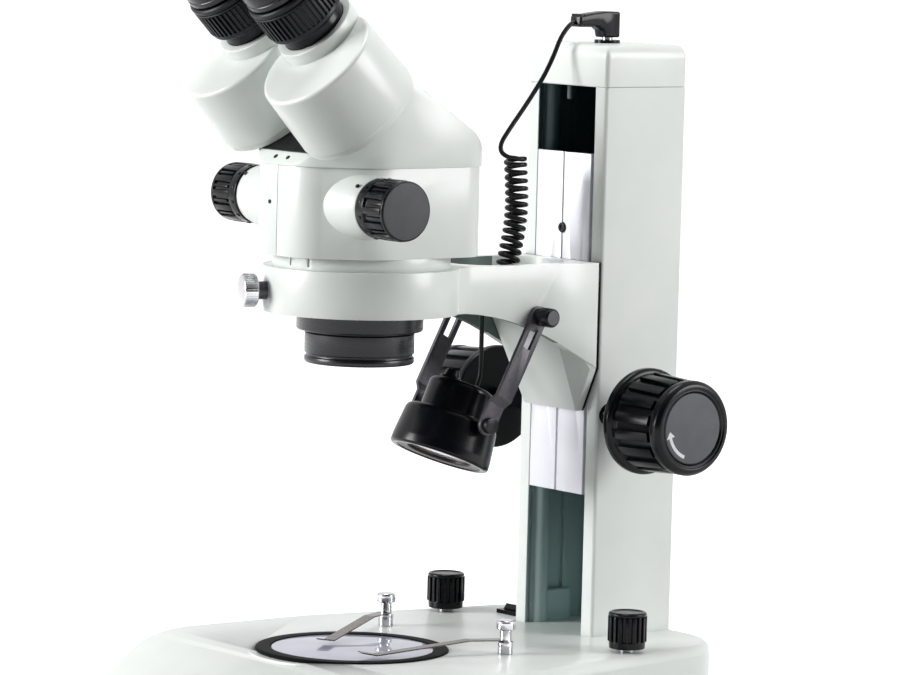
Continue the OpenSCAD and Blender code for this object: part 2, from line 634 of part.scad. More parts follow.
module lower_housing() color(white) at_axis() difference() {
    union() {
        translate([0, 0, lower_z]) linear_extrude(lower_h) polygon(head_plan());
        translate([0, zoom_y, zoom_z]) for (side = [-1, 1]) scale_x(side) {
            bar_x(boss_r, 12, head_w2);
            translate([head_w2, 0, 0]) rotate([0, 90, 0]) cylinder(r1 = boss_r, r2 = zoom_r - 0.5, h = zoom_face_x - zoom_l - head_w2 - gap);
        }
    }
    difference() {
        translate([0, 0, lower_z + head_wall]) linear_extrude(lower_h) polygon(head_plan(-head_wall));
        translate([0, zoom_y, zoom_z]) bar_x(zoom_shaft_r + 4, 16, head_w2);
        translate([0, zoom_y, zoom_z]) bar_x(zoom_shaft_r + 4, -head_w2, -16);
    }
    translate([0, 0, lower_z - 1]) cylinder(r = objective_r - 3, h = head_wall + 2);
    translate([0, zoom_y, zoom_z]) bar_x(zoom_shaft_r + run, -zoom_face_x, zoom_face_x);
    translate([-0.25, -head_front - 1, lower_z - 1]) cube([0.5, 1.4, lower_h + 2]);
}

// Sloped plane that carries the prism housings, and the points set on it
drum_y = -55;             // middle of a prism housing's outer face
drum_z = seam_z + 52.5;
ridge_z = seam_z + 42.3;
plane_off = 1;            // the prism housings turn this far above the sloped plane

function plane_y(z) = drum_y + (drum_l + plane_off) * sin(eye_tilt)
    + (z - drum_z + (drum_l + plane_off) * cos(eye_tilt)) / tan(eye_tilt);

module top_side() polygon([[plane_y(seam_z), seam_z], [plane_y(ridge_z), ridge_z], [-6, ridge_z],
    [-3, ridge_z - 1.3], [head_back - 10, seam_z + 15.9], [head_back - 5, seam_z + 11], [head_back + 0.8, seam_z + 3], [head_back + 0.8, seam_z]]);

module top_housing() color(white) at_axis() difference() {
    intersection() {
        translate([0, 0, seam_z]) linear_extrude(ridge_z - seam_z) polygon(head_plan(0.8));
        slab(2 * head_w2 + 4) top_side();
    }
    intersection() {
        translate([0, 0, seam_z - 1]) linear_extrude(ridge_z - seam_z) polygon(head_plan(-head_wall));
        translate([0, 0, -1.5 * head_wall]) slab(2 * head_w2) top_side();
    }
    for (side = [-1, 1]) at_drum(side) {
        translate([0, 0, -drum_l - plane_off - 3]) cylinder(r = pivot_r, h = 6);
        translate([0, 0, -drum_l]) cylinder(r = drum_r + gap, h = drum_l);
    }
    at_lip_screws() cylinder(r = lip_screw_r + seat, h = 1);
}

// Two small screws low on the sloped plane, pointing into it
lip_screw_r = 1.2;
module at_lip_screws() for (x = [-5, 5]) at_drum(0)
    translate([x, -30.2, -drum_l - plane_off]) rotate([180, 0, 0]) children();

// Frame of a prism housing: origin in the middle of its outer face, Z along the eyepiece
module at_drum(side) translate([side * drum_x, drum_y, drum_z]) rotate([eye_tilt, 0, 0]) children();

eye_swing = 33.5;           // both eyepieces stand swung inwards by this
module at_eye(side) at_drum(side) rotate([0, 0, side * eye_swing]) translate([0, eye_offset, 0]) children();

pivot_r = 10;
link_screw = [-5, -18.5, 0];
module linkage_plate() color("#2B2B2E") at_axis() at_drum(0) translate([0, 0, -drum_l - plane_off]) difference() {
    linear_extrude(plane_off - gap) polygon(outline([[-24, -26.5, 2], [24, -26.5, 2], [5, -6, 2], [-5, -6, 2]]));
    translate(link_screw) translate([0, 0, -1]) cylinder(r = 2, h = 5);
}

module objective_barrel() color(black) at_axis() {
    bottom = objective_z;
    step = arm_top_z - ring_h - 9;
    rotate_extrude() polygon([
        [thread_r, bottom], [barrel_r - 0.8, bottom], [barrel_r, bottom + 0.8], [barrel_r, bottom + 3],
        [barrel_r - 0.8, bottom + 3.4], [barrel_r - 0.8, bottom + 4.6], [barrel_r, bottom + 5],
        [barrel_r, step - 1.4], [barrel_r - 1.4, step - 1], [barrel_r - 1.4, step], [objective_r - 0.8, step],
        [objective_r, step + 0.8], [objective_r, lower_z], [thread_r + 2, lower_z], [thread_r + 2, bottom + 20],
        [thread_r - 3, bottom + 20], [thread_r - 3, bottom + 9], [thread_r, bottom + 8]]);
}

module objective_lens() color("#AFC4D6") at_axis() translate([0, 0, objective_z + 10]) rotate_extrude()
    polygon(concat([[0, 8]], [for (i = [0:6]) let (x = (thread_r - 3 - seat) * i / 6)
        [x, 1.6 * pow(x / (thread_r - 3), 2) - 1.6]], [[thread_r - 3 - seat, 8]]));

module head_screws() color("#B9BCC0") at_axis() {
    at_drum(0) translate([0, 0, -drum_l - plane_off]) translate(link_screw) cylinder(r = 1.9, h = plane_off - gap);
    at_lip_screws() translate([0, 0, -0.2]) cylinder(r = lip_screw_r, h = 1.2);
    for (side = [-1, 1]) translate([side * (head_w2 + 3), zoom_y, zoom_z]) rotate([-45, 0, 0])
        translate([0, -boss_r + 0.6, 0]) rotate([90, 0, 0]) cylinder(r = 1, h = 0.6);
    translate([-6, -head_front, zoom_z]) rotate([90, 0, 0]) cylinder(r = 1, h = 0.3);
}

module zoom_shaft() color("#C2C5C9") at_axis() translate([0, zoom_y, zoom_z]) {
    bar_x(zoom_shaft_r, -zoom_face_x + 5, zoom_face_x - 5);
    bar_x(boss_r - 3, -4, 4);
}

// Ribbed zoom knob with its inner face at x = 0
module zoom_knob() rotate([0, 90, 0]) difference() {
    rotate_extrude() polygon([[0, 0], [zoom_r - 1.2, 0], [zoom_r, 1.2], [zoom_r, zoom_l - 1], [zoom_r - 1, zoom_l],
        [zoom_r - 1.8, zoom_l - 0.3], [0, zoom_l - 0.3]]);
    translate([0, 0, -1]) cylinder(r = zoom_shaft_r + seat, h = zoom_l - 4);
    ring_of(12, zoom_r) translate([-1.3, -1.1, 5]) cube([4, 2.2, zoom_l - 7]);
}

module zoom_knob_right() color(black) at_axis() translate([zoom_face_x - zoom_l, zoom_y, zoom_z]) zoom_knob();
module zoom_knob_left() color(black) at_axis() mirror([1, 0, 0]) translate([zoom_face_x - zoom_l, zoom_y, zoom_z]) zoom_knob();

// ---------- eyepieces ----------

tube_r = eye_tube_r + 1;   // outside of an eyetube under its dioptre ring
neck_r = tube_r + 0.5;
boss_top = 6.5;           // height of a prism housing's boss above its face
collar_h = 12.5;
ring_l = 20.5;
ring_ribs = 48;
eye_l = 26;               // eyepiece above the dioptre ring
drum_wall = 3;
drum_foot = 3;            // the lowest part of a prism housing is slightly smaller
boss_out_r = neck_r + 4;
tube_seat = 1;            // an eyetube stands on the boss's floor, this far above the face
light_r = 11;
bush_l = plane_off + 2.5;

module prism_housing(side) difference() {
    union() {
        at_drum(side) translate([0, 0, -drum_l]) rotate_extrude() polygon(concat(
            [[0, 0], [drum_r - 0.8, 0], [drum_r - 0.8, drum_foot], [drum_r, drum_foot + 0.4]],
            [for (a = [0:15:90]) [drum_r - 1.2 - 3 * (1 - cos(a)), drum_l - 3 * (1 - sin(a))]], [[0, drum_l]]));
        at_eye(side) rotate_extrude() polygon([[0, -16], [12, -16], [boss_out_r, -1],
            [boss_out_r, boss_top - 0.8], [boss_out_r - 0.8, boss_top], [0, boss_top]]);
    }
    at_drum(side) translate([0, 0, -drum_l - 1]) cylinder(r = drum_r - 8, h = drum_l - drum_wall);
    at_eye(side) {
        translate([0, 0, -6]) cylinder(r = light_r, h = 8);
        translate([0, 0, tube_seat]) cylinder(r = neck_r + seat, h = boss_top);
    }
}

module prism_housing_right() color(white) at_axis() { prism_housing(1); prism_floor(1); }
module prism_housing_left() color(white) at_axis() { prism_housing(-1); prism_floor(-1); }
module prism_floor(side) at_drum(side) translate([0, 0, -drum_l]) difference() {
    union() {
        cylinder(r = drum_r - 7, h = 3);
        translate([0, 0, -bush_l]) cylinder(r = pivot_r - 0.1 - run, h = bush_l + 1);
    }
    translate([0, 0, -bush_l - 1]) cylinder(r = 7, h = bush_l + 6);
}

module eyetube(side) at_eye(side) difference() {
    union() {
        translate([0, 0, tube_seat + seat]) cylinder(r = neck_r, h = collar_h - tube_seat - seat);
        translate([0, 0, tube_seat + 1]) cylinder(r = tube_r, h = collar_h + ring_l - tube_seat - 1);
    }
    cylinder(r = eye_tube_r, h = collar_h + ring_l + 1);
}
module eyetube_right() color(black) at_axis() eyetube(1);
module eyetube_left() color(black) at_axis() eyetube(-1);

module dioptre_ring(side) at_eye(side) translate([0, 0, collar_h + gap]) difference() {
    rotate_extrude() polygon([[tube_r + run, 0], [dioptre_r - 1.4, 0], [dioptre_r - 0.6, 0.8], [dioptre_r - 0.6, 2.8],
        [dioptre_r, 3.4], [dioptre_r, ring_l - 4.6], [dioptre_r - 0.8, ring_l - 4.2], [dioptre_r - 0.8, ring_l - 3.4],
        [dioptre_r, ring_l - 3], [dioptre_r, ring_l - 1.4], [dioptre_r - 0.8, ring_l - gap - 0.2],
        [tube_r + run, ring_l - gap - 0.2]]);
    ring_of(ring_ribs, dioptre_r + 0.25) translate([0, 0, 4]) cylinder(r = 0.8, h = ring_l - 9.2, $fn = 6);
}
module dioptre_ring_right() color(black) at_axis() dioptre_ring(1);
module dioptre_ring_left() color(black) at_axis() dioptre_ring(-1);

module eyepiece(side) at_eye(side) translate([0, 0, collar_h + ring_l + gap]) difference() {
    rotate_extrude() polygon([[eye_tube_r - 2.5, -18], [eye_tube_r - seat, -18], [eye_tube_r - seat, 0], [dioptre_r - 2, 0],
        [dioptre_r - 1.2, 0.8], [dioptre_r - 1.2, 12], [dioptre_r - 2.2, 13], [dioptre_r - 2.2, eye_l - 9],
        [dioptre_r - 4.5, eye_l - 7], [dioptre_r - 4.5, eye_l], [12, eye_l], [12, 6], [eye_tube_r - 2.5, 4]]);
}
module eyepiece_right() color(black) at_axis() eyepiece(1);
module eyepiece_left() color(black) at_axis() eyepiece(-1);

module eye_lens(side) at_eye(side) translate([0, 0, collar_h + ring_l + gap + eye_l - 6]) rotate_extrude()
    polygon(concat([[0, 0], [12 - seat, 0]], [for (i = [6:-1:0]) let (x = (12 - seat) * i / 6) [x, 3.4 - x * x / 90]]));
module eye_lens_right() color("#9DB6CC") at_axis() eye_lens(1);
module eye_lens_left() color("#9DB6CC") at_axis() eye_lens(-1);

module eyecup(side) at_eye(side) translate([0, 0, collar_h + ring_l + gap + eye_l]) rotate_extrude() polygon([
    [dioptre_r - 4.5 + seat, -6.6], [dioptre_r - 2.6, -6.6], [dioptre_r - 1.6, -4], [dioptre_r - 1.8, 2], [dioptre_r, 8],
    [dioptre_r - 0.6, 9], [dioptre_r - 2, 8.6], [dioptre_r - 4.2, 2.4], [12.6, 2], [12.6, 0], [dioptre_r - 4.5 + seat, 0]]);
module eyecup_right() color("#1C1C1F") at_axis() eyecup(1);
module eyecup_left() color("#1C1C1F") at_axis() eyecup(-1);

// ---------- lamp ----------

bracket_tilt = 28;        // the bracket strips lean forward from upright by this
strip_w = 10;
screw_hole_r = 2.1;
strip_x = arm_w / 2 + 0.3;      // inner face of a bracket strip beside the arm
joggle = 3.5;             // the strips step inwards by this beside the lamp
lamp_y = bracket_y - yoke_l * sin(bracket_tilt);
lamp_z = bracket_z - yoke_l * cos(bracket_tilt);
lamp_pivot_h = 20;        // the lamp hangs on pivots this far above its lens

module at_lamp() at_axis() translate([0, lamp_y, lamp_z]) rotate([-lamp_tilt, 0, 0]) children();

joggle_z = 15 - yoke_l;   // height of the step, from a strip's upper pivot

module strip() difference() {
    union() {
        bar_x(strip_w / 2, 0, yoke_t);
        translate([0, -strip_w / 2, joggle_z]) cube([yoke_t, strip_w, -joggle_z]);
        rotate([90, 0, 0]) translate([0, 0, -strip_w / 2]) linear_extrude(strip_w) polygon([[0, joggle_z],
            [yoke_t, joggle_z], [yoke_t - joggle, joggle_z - 4], [-joggle, joggle_z - 4]]);
        translate([-joggle, -strip_w / 2, -yoke_l]) cube([yoke_t, strip_w, yoke_l + joggle_z - 3.6]);
        translate([-joggle, 0, -yoke_l]) bar_x(strip_w / 2, 0, yoke_t);
    }
    translate([0, 0, -12]) cube([2 * yoke_t + 2, 4.4, 11], center = true);
    bar_x(screw_hole_r, -1, yoke_t + 1);
    translate([-joggle, 0, -yoke_l]) bar_x(screw_hole_r, -1, yoke_t + 1);
}

module lamp_bracket() color("#4E4C52") at_axis() translate([0, bracket_y, bracket_z]) rotate([-bracket_tilt, 0, 0])
    for (side = [-1, 1]) scale_x(side) translate([strip_x, 0, 0]) strip();

module bracket_screw(side) at_axis() translate([0, bracket_y, bracket_z]) scale_x(side)
    translate([strip_x + yoke_t + gap, 0, 0]) thumb_screw(4.7, 10, 2, 13, 18);
module bracket_screw_right() color(black) bracket_screw(1);
module bracket_screw_left() color(black) bracket_screw(-1);

module lamp_housing() color(black) at_lamp() difference() {
    translate([0, 0, -lamp_pivot_h]) rotate_extrude() polygon([[lamp_r - 4, 0], [lamp_r - 1, 0], [lamp_r, 1], [lamp_r, 15],
        [lamp_r - 1, 16.4], [lamp_r - 3, 17], [lamp_r - 3, 18], [lamp_r - 2.4, 18.6], [lamp_r - 3, lamp_h - 10],
        [lamp_r - 5, lamp_h - 7.5], [lamp_r - 12, lamp_h - 5.5], [lamp_r - 14, lamp_h - 3.2], [0, lamp_h - 3],
        [0, lamp_h - 8], [lamp_r - 8, lamp_h - 11], [lamp_r - 4, 16]]);
    for (side = [-1, 1]) scale_x(side) bar_x(2 + seat, lamp_r - 8, lamp_r + 2);
    translate([0, 8.5, lamp_h - lamp_pivot_h - 10]) cylinder(r = lead_r + 0.4, h = 20);
}

module lamp_lens() color("#D6D8DE") at_lamp() translate([0, 0, -lamp_pivot_h + 2.5]) {
    cylinder(r = lamp_r - 4 - seat, h = 2.5);
    translate([0, 0, 2.5]) cylinder(r1 = 6, r2 = 4, h = 6);
}

module lamp_pivots() color("#8B8D91") at_lamp() for (side = [-1, 1]) scale_x(side) {
    bar_x(4, strip_x - joggle + yoke_t + gap, strip_x - joggle + yoke_t + gap + 3);
    bar_x(2, lamp_r - 7, strip_x - joggle + yoke_t + gap + 1);
    bar_x(3.6, lamp_r + 0.1, strip_x - joggle - gap);
}

// ---------- stage clips and dimmers ----------

// Clip with its post along Z; the blade points along -Y
module stage_clip(turn) rotate([0, 0, turn]) {
    rotate_extrude() polygon([[0, -8], [clip_post_r / 2, -8], [clip_post_r / 2, 0.3], [clip_post_r + 1, 0.3], [clip_post_r + 1, 2.2],
        [clip_post_r, 2.6], [clip_post_r, 8], [clip_post_r + 1.4, 8.4], [clip_post_r + 1.4, clip_post_h - 2],
        [clip_post_r + 0.9, clip_post_h - 1.4], [clip_post_r + 0.9, clip_post_h - 0.4], [clip_post_r + 0.4, clip_post_h], [0, clip_post_h]]);
    rotate([90, 0, -90]) translate([0, 0, -3]) linear_extrude(6) polygon([[clip_post_r + 0.2, 5.2], [20, 7], [clip_l - 8, 1.6],
        [clip_l, 3.2], [clip_l, 3.8], [clip_l - 8, 2.2], [20, 7.6], [clip_post_r + 0.2, 5.8]]);
}
module stage_clip_right() color("#C9CACC") at_axis() translate([clip_x, clip_y, 0]) stage_clip(-16);
module stage_clip_left() color("#C9CACC") at_axis() translate([-clip_x, clip_y, 0]) stage_clip(29);

module dimmer_knob() difference() {
    rotate_extrude() polygon([[0, 1.8], [dimmer_r - 1, 1.8], [dimmer_r - 1, 5], [dimmer_r, 5.6], [dimmer_r, dimmer_h - 1],
        [dimmer_r - 1, dimmer_h], [0, dimmer_h]]);
    cylinder(r = 3 + seat, h = dimmer_h * 0.6 + 2);
    ring_of(16, dimmer_r + 0.3) translate([0, 0, 6.4]) cylinder(r = 1.3, h = dimmer_h - 9, $fn = 6);
}
module dimmer_knob_right() color(black) translate([dimmer_x, dimmer_y, base_top]) dimmer_knob();
module dimmer_knob_left() color(black) translate([-dimmer_x, dimmer_y, base_top]) dimmer_knob();

// ---------- cord ----------

cord_r = 1.2;
coil_r = 5.5;
lead_top = 178;
cord_points = [[0, 130.1, 307.2], [0, 126, 305], [0, 121, 299], [0, 116, 289], [0, 110, 279], [0, 100, 266],
    [0, 90, 254], [0, 85, 247], [0, 85, 243], [0, 88, 240.6], [0, 93, 240.6]];
coil_points = [[0, 94, 239], [0, 95, 228], [0, 95.5, 216], [0, 94.5, 204], [0, 92, 192], [0, 90, 181]];
lead_points = [[0, 90, 179.5], [0, 87, 178.5], [0, 82, 178.6], [0, 78, 178.1], [0, 75.8, 175.6], [0, 75.5, 172],
    [0, 75.5, 160], [0, 75.6, 146], [0, 75.6, 136], [0, 75.2, 131.2], [0, 74.3, 128.4], [0, 73.4, 126.2]];

// Catmull-Rom points along a route
function spline_at(p, i, t) =
    let (n = len(p) - 1, a = p[max(i - 1, 0)], b = p[i], c = p[min(i + 1, n)], d = p[min(i + 2, n)])
    0.5 * (2 * b + (c - a) * t + (2 * a - 5 * b + 4 * c - d) * t * t + (3 * b - a - 3 * c + d) * t * t * t);
function smooth(p, steps) = concat([for (i = [0:len(p) - 2], k = [0:steps - 1]) spline_at(p, i, k / steps)], [p[len(p) - 1]]);

// Round tube along points that lie in a plane across X
module tube(points, r, sides = 8) {
    n = len(points);
    rings = [for (i = [0:n - 1])
        let (t = unit(points[min(i + 1, n - 1)] - points[max(i - 1, 0)]), u = [1, 0, 0], w = cross(t, u))
        [for (k = [0:sides - 1]) points[i] + r * (cos(k * 360 / sides) * u + sin(k * 360 / sides) * w)]];
    polyhedron(points = [for (g = rings) each g], faces = concat(
        [[for (k = [0:sides - 1]) k]], [[for (k = [sides - 1:-1:0]) (n - 1) * sides + k]],
        [for (i = [0:n - 2], k = [0:sides - 1]) let (a = i * sides + k, b = i * sides + (k + 1) % sides)
            each [[a, a + sides, b + sides], [a, b + sides, b]]]));
}

module lamp_plug() color(black) at_axis() {
    top = column_h + cap_h + 1.6;
    translate([0, socket_y - axis_y, top]) {
        translate([0, 0, 2.4]) cylinder(r = 5, h = 12);
        translate([0, 0, -9]) cylinder(r = 2.75, h = 12);
    }
    translate([0, socket_y - axis_y, top + 9.4]) rotate([90, 0, 0]) {
        cylinder(r = 4.6, h = 10);
        for (i = [0:4]) translate([0, 0, 10 + 2 * i]) cylinder(r1 = 3.8 - 0.35 * i, r2 = 3.4 - 0.35 * i, h = 2);
    }
}
module lamp_cord() color(black) at_axis() tube(smooth(cord_points, 3), cord_r);
module lamp_coil() color(black) at_axis() tube(smooth(coil_points, 2), coil_r, 16);
module lamp_lead() color(black) at_axis() tube(smooth(lead_points, 3), lead_r);

base_housing();
bottom_plate();
rubber_feet();
base_screws();
stage_ring();
stage_glass();
led_board();
power_inlet();
dimmer_pots();
switch_frame();
column();
column_cap();
lamp_socket();
pinion_bushes();
pinion_shaft();
focus_knob_right();
focus_knob_left();
slide_plate();
focus_rack();
focus_arm();
arm_screws();
head_clamp_knob();
head_flange();
lower_housing();
top_housing();
linkage_plate();
objective_barrel();
objective_lens();
head_screws();
zoom_shaft();
zoom_knob_right();
zoom_knob_left();
prism_housing_right();
prism_housing_left();
eyetube_right();
eyetube_left();
dioptre_ring_right();
dioptre_ring_left();
eyepiece_right();
eyepiece_left();
eye_lens_right();
eye_lens_left();
eyecup_right();
eyecup_left();
lamp_bracket();
bracket_screw_right();
bracket_screw_left();
lamp_housing();
lamp_lens();
lamp_pivots();
stage_clip_right();
stage_clip_left();
dimmer_knob_right();
dimmer_knob_left();
power_rocker();
lamp_plug();
lamp_cord();
lamp_coil();
lamp_lead();
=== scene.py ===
import json
import math

import bmesh
import bpy
from mathutils import Matrix, Vector


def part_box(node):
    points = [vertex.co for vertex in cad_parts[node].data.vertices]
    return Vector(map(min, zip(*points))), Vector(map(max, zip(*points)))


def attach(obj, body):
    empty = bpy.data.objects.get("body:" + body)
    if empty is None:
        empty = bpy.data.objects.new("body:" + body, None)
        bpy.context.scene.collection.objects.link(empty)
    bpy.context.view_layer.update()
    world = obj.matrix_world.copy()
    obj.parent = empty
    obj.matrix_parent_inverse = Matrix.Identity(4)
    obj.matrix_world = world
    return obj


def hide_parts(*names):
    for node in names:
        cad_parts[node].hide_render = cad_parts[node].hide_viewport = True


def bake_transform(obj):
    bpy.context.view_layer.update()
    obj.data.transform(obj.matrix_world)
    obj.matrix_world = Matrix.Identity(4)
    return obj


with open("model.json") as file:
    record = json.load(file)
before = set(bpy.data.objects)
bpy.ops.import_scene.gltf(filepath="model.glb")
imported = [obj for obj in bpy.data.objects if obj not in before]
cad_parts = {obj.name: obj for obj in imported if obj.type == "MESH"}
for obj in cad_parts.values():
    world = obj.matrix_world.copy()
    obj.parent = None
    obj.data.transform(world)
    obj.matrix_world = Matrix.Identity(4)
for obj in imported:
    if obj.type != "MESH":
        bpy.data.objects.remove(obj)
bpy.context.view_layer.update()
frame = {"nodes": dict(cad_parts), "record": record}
nodes = frame["nodes"]
joints = {joint["name"]: joint for joint in frame["record"]["behaviour"]["joints"]}
mm = 0.001
print("microscope stand and head loaded")

cameraLook = {"target": (-0.02088, 0.04187, 0.20247), "azimuth": 52.33, "elevation": 5.61, "roll": 1.45,
              "distance": 2.3659, "lens": 189.15, "near": 0.1, "far": 60}


def placeCamera(look):
    azimuth, elevation, roll = (math.radians(look[key]) for key in ("azimuth", "elevation", "roll"))
    right = Vector((math.cos(azimuth), math.sin(azimuth), 0))
    back = Vector((math.sin(azimuth) * math.cos(elevation), -math.cos(azimuth) * math.cos(elevation),
                   math.sin(elevation)))
    up = back.cross(right)
    across = math.cos(roll) * right + math.sin(roll) * up
    upright = -math.sin(roll) * right + math.cos(roll) * up
    data = bpy.data.cameras.new("camera")
    data.lens = look["lens"]
    data.clip_start, data.clip_end = look["near"], look["far"]
    camera = bpy.data.objects.new("camera", data)
    turn = Matrix((across, upright, back)).transposed().to_4x4()
    camera.matrix_world = Matrix.Translation(Vector(look["target"]) + back * look["distance"]) @ turn
    bpy.context.scene.collection.objects.link(camera)
    bpy.context.scene.camera = camera


placeCamera(cameraLook)
print("camera placed")


# an sRGB hex value as the linear colour that a shader reads
def toLinear(hexText):
    values = [int(hexText[i:i + 2], 16) / 255 for i in (1, 3, 5)]
    return (*[v / 12.92 if v <= 0.04045 else ((v + 0.055) / 1.055) ** 2.4 for v in values], 1.0)


# a node of a tree; settings are its own or its inputs', links join its inputs to other nodes
def addNode(tree, kind, settings=None, links=None):
    node = tree.nodes.new(kind)
    values = {}
    for key, value in (settings or {}).items():
        if isinstance(key, str) and hasattr(node, key):
            setattr(node, key, value)
        else:
            values[key] = value
    for key, value in values.items():
        node.inputs[key].default_value = value
    for key, source in (links or {}).items():
        tree.links.new(source, node.inputs[key])
    return node


def newFinish(name):
    finish = bpy.data.materials.new(name)
    finish.use_nodes = True
    finish.node_tree.nodes.clear()
    return finish, finish.node_tree


# blotch and grain are the widths in mm of the slow and the fine variation, depth that of the grain
def makeFinish(name, look):
    finish, tree = newFinish(name)
    coords = addNode(tree, "ShaderNodeTexCoord").outputs["UV" if look.get("follows") else "Object"]
    spread = addNode(tree, "ShaderNodeMapping", {"Scale": look.get("stretch", (1, 1, 1))},
                     {"Vector": coords})
    blotch = addNode(tree, "ShaderNodeTexNoise", {"Scale": 1 / (look["blotch"] * mm), "Detail": 3.0},
                     {"Vector": coords})
    grain = addNode(tree, "ShaderNodeTexNoise", {"Scale": 1 / (look["grain"] * mm), "Detail": 2.0},
                    {"Vector": spread.outputs["Vector"]})
    slow = addNode(tree, "ShaderNodeMapRange", {"From Min": 0.35, "From Max": 0.65},
                   {"Value": blotch.outputs["Fac"]})
    colour = addNode(tree, "ShaderNodeMix", {"data_type": "RGBA", 6: toLinear(look["base"]),
                                             7: toLinear(look["tone"])}, {0: slow.outputs["Result"]})
    last = colour.outputs[2]
    if "streak" in look:
        fleck = addNode(tree, "ShaderNodeMapRange", {"From Min": 0.3, "From Max": 0.7, "To Max": 0.7},
                        {"Value": grain.outputs["Fac"]})
        last = addNode(tree, "ShaderNodeMix", {"data_type": "RGBA", 7: toLinear(look["streak"])},
                       {0: fleck.outputs["Result"], 6: last}).outputs[2]
    # painted light: the colour turns paler towards the lower end of the height range
    if "paintedLightFade" in look:
        height = addNode(tree, "ShaderNodeSeparateXYZ", None, {"Vector": coords})
        low, high, tone = look["paintedLightFade"]
        up = addNode(tree, "ShaderNodeMapRange",
                     {"From Min": low, "From Max": high, "To Min": 0.85, "To Max": 0.0},
                     {"Value": height.outputs["Z"]})
        last = addNode(tree, "ShaderNodeMix", {"data_type": "RGBA", 7: toLinear(tone)},
                       {0: up.outputs["Result"], 6: last}).outputs[2]
    # painted shade: ambient occlusion darkens creases, recesses and gaps towards this colour
    if "paintedCreaseShade" in look:
        near = addNode(tree, "ShaderNodeAmbientOcclusion", {"samples": 4, "Distance": 6 * mm})
        deep = addNode(tree, "ShaderNodeMapRange",
                       {"From Min": 0.25, "From Max": 0.8, "To Min": 0.45, "To Max": 0.0},
                       {"Value": near.outputs["AO"]})
        last = addNode(tree, "ShaderNodeMix", {"data_type": "RGBA", 7: toLinear(look["paintedCreaseShade"])},
                       {0: deep.outputs["Result"], 6: last}).outputs[2]
    low, high = look["roughness"]
    rough = addNode(tree, "ShaderNodeMapRange",
                    {"From Min": 0.3, "From Max": 0.7, "To Min": low, "To Max": high},
                    {"Value": grain.outputs["Fac"]})
    bump = addNode(tree, "ShaderNodeBump",
                   {"Strength": look.get("strength", 0.5), "Distance": look["depth"] * mm},
                   {"Height": grain.outputs["Fac"]})
    constants = {"Metallic": look.get("metallic", 0.0), "Coat Weight": look.get("coat", 0.0),
                 "Coat Roughness": look.get("coatRoughness", 0.1), "IOR": look.get("ior", 1.5),
                 "Specular IOR Level": look.get("specular", 0.5)}
    shader = addNode(tree, "ShaderNodeBsdfPrincipled", constants,
                     {"Base Color": last, "Roughness": rough.outputs["Result"],
                      "Normal": bump.outputs["Normal"]})
    addNode(tree, "ShaderNodeOutputMaterial", None, {"Surface": shader.outputs["BSDF"]})
    finish.diffuse_color = toLinear(look["base"])
    return finish


# clear is the share of light that passes; blotch is the width in mm of its clouds
def makeGlass(name, look):
    finish, tree = newFinish(name)
    coords = addNode(tree, "ShaderNodeTexCoord").outputs["Object"]
    cloud = addNode(tree, "ShaderNodeTexNoise", {"Scale": 1 / (look["blotch"] * mm), "Detail": 4.0},
                    {"Vector": coords})
    colour = addNode(tree, "ShaderNodeMix", {"data_type": "RGBA", 6: toLinear(look["base"]),
                                             7: toLinear(look["tone"])}, {0: cloud.outputs["Fac"]})
    low, high = look["roughness"]
    rough = addNode(tree, "ShaderNodeMapRange",
                    {"From Min": 0.3, "From Max": 0.7, "To Min": low, "To Max": high},
                    {"Value": cloud.outputs["Fac"]})
    shader = addNode(tree, "ShaderNodeBsdfPrincipled",
                     {"Transmission Weight": look["clear"], "IOR": look.get("ior", 1.52),
                      "Coat Weight": look.get("coat", 0.0), "Coat Roughness": 0.03},
                     {"Base Color": colour.outputs[2], "Roughness": rough.outputs["Result"]})
    addNode(tree, "ShaderNodeOutputMaterial", None, {"Surface": shader.outputs["BSDF"]})
    finish.diffuse_color = toLinear(look["base"])
    return finish


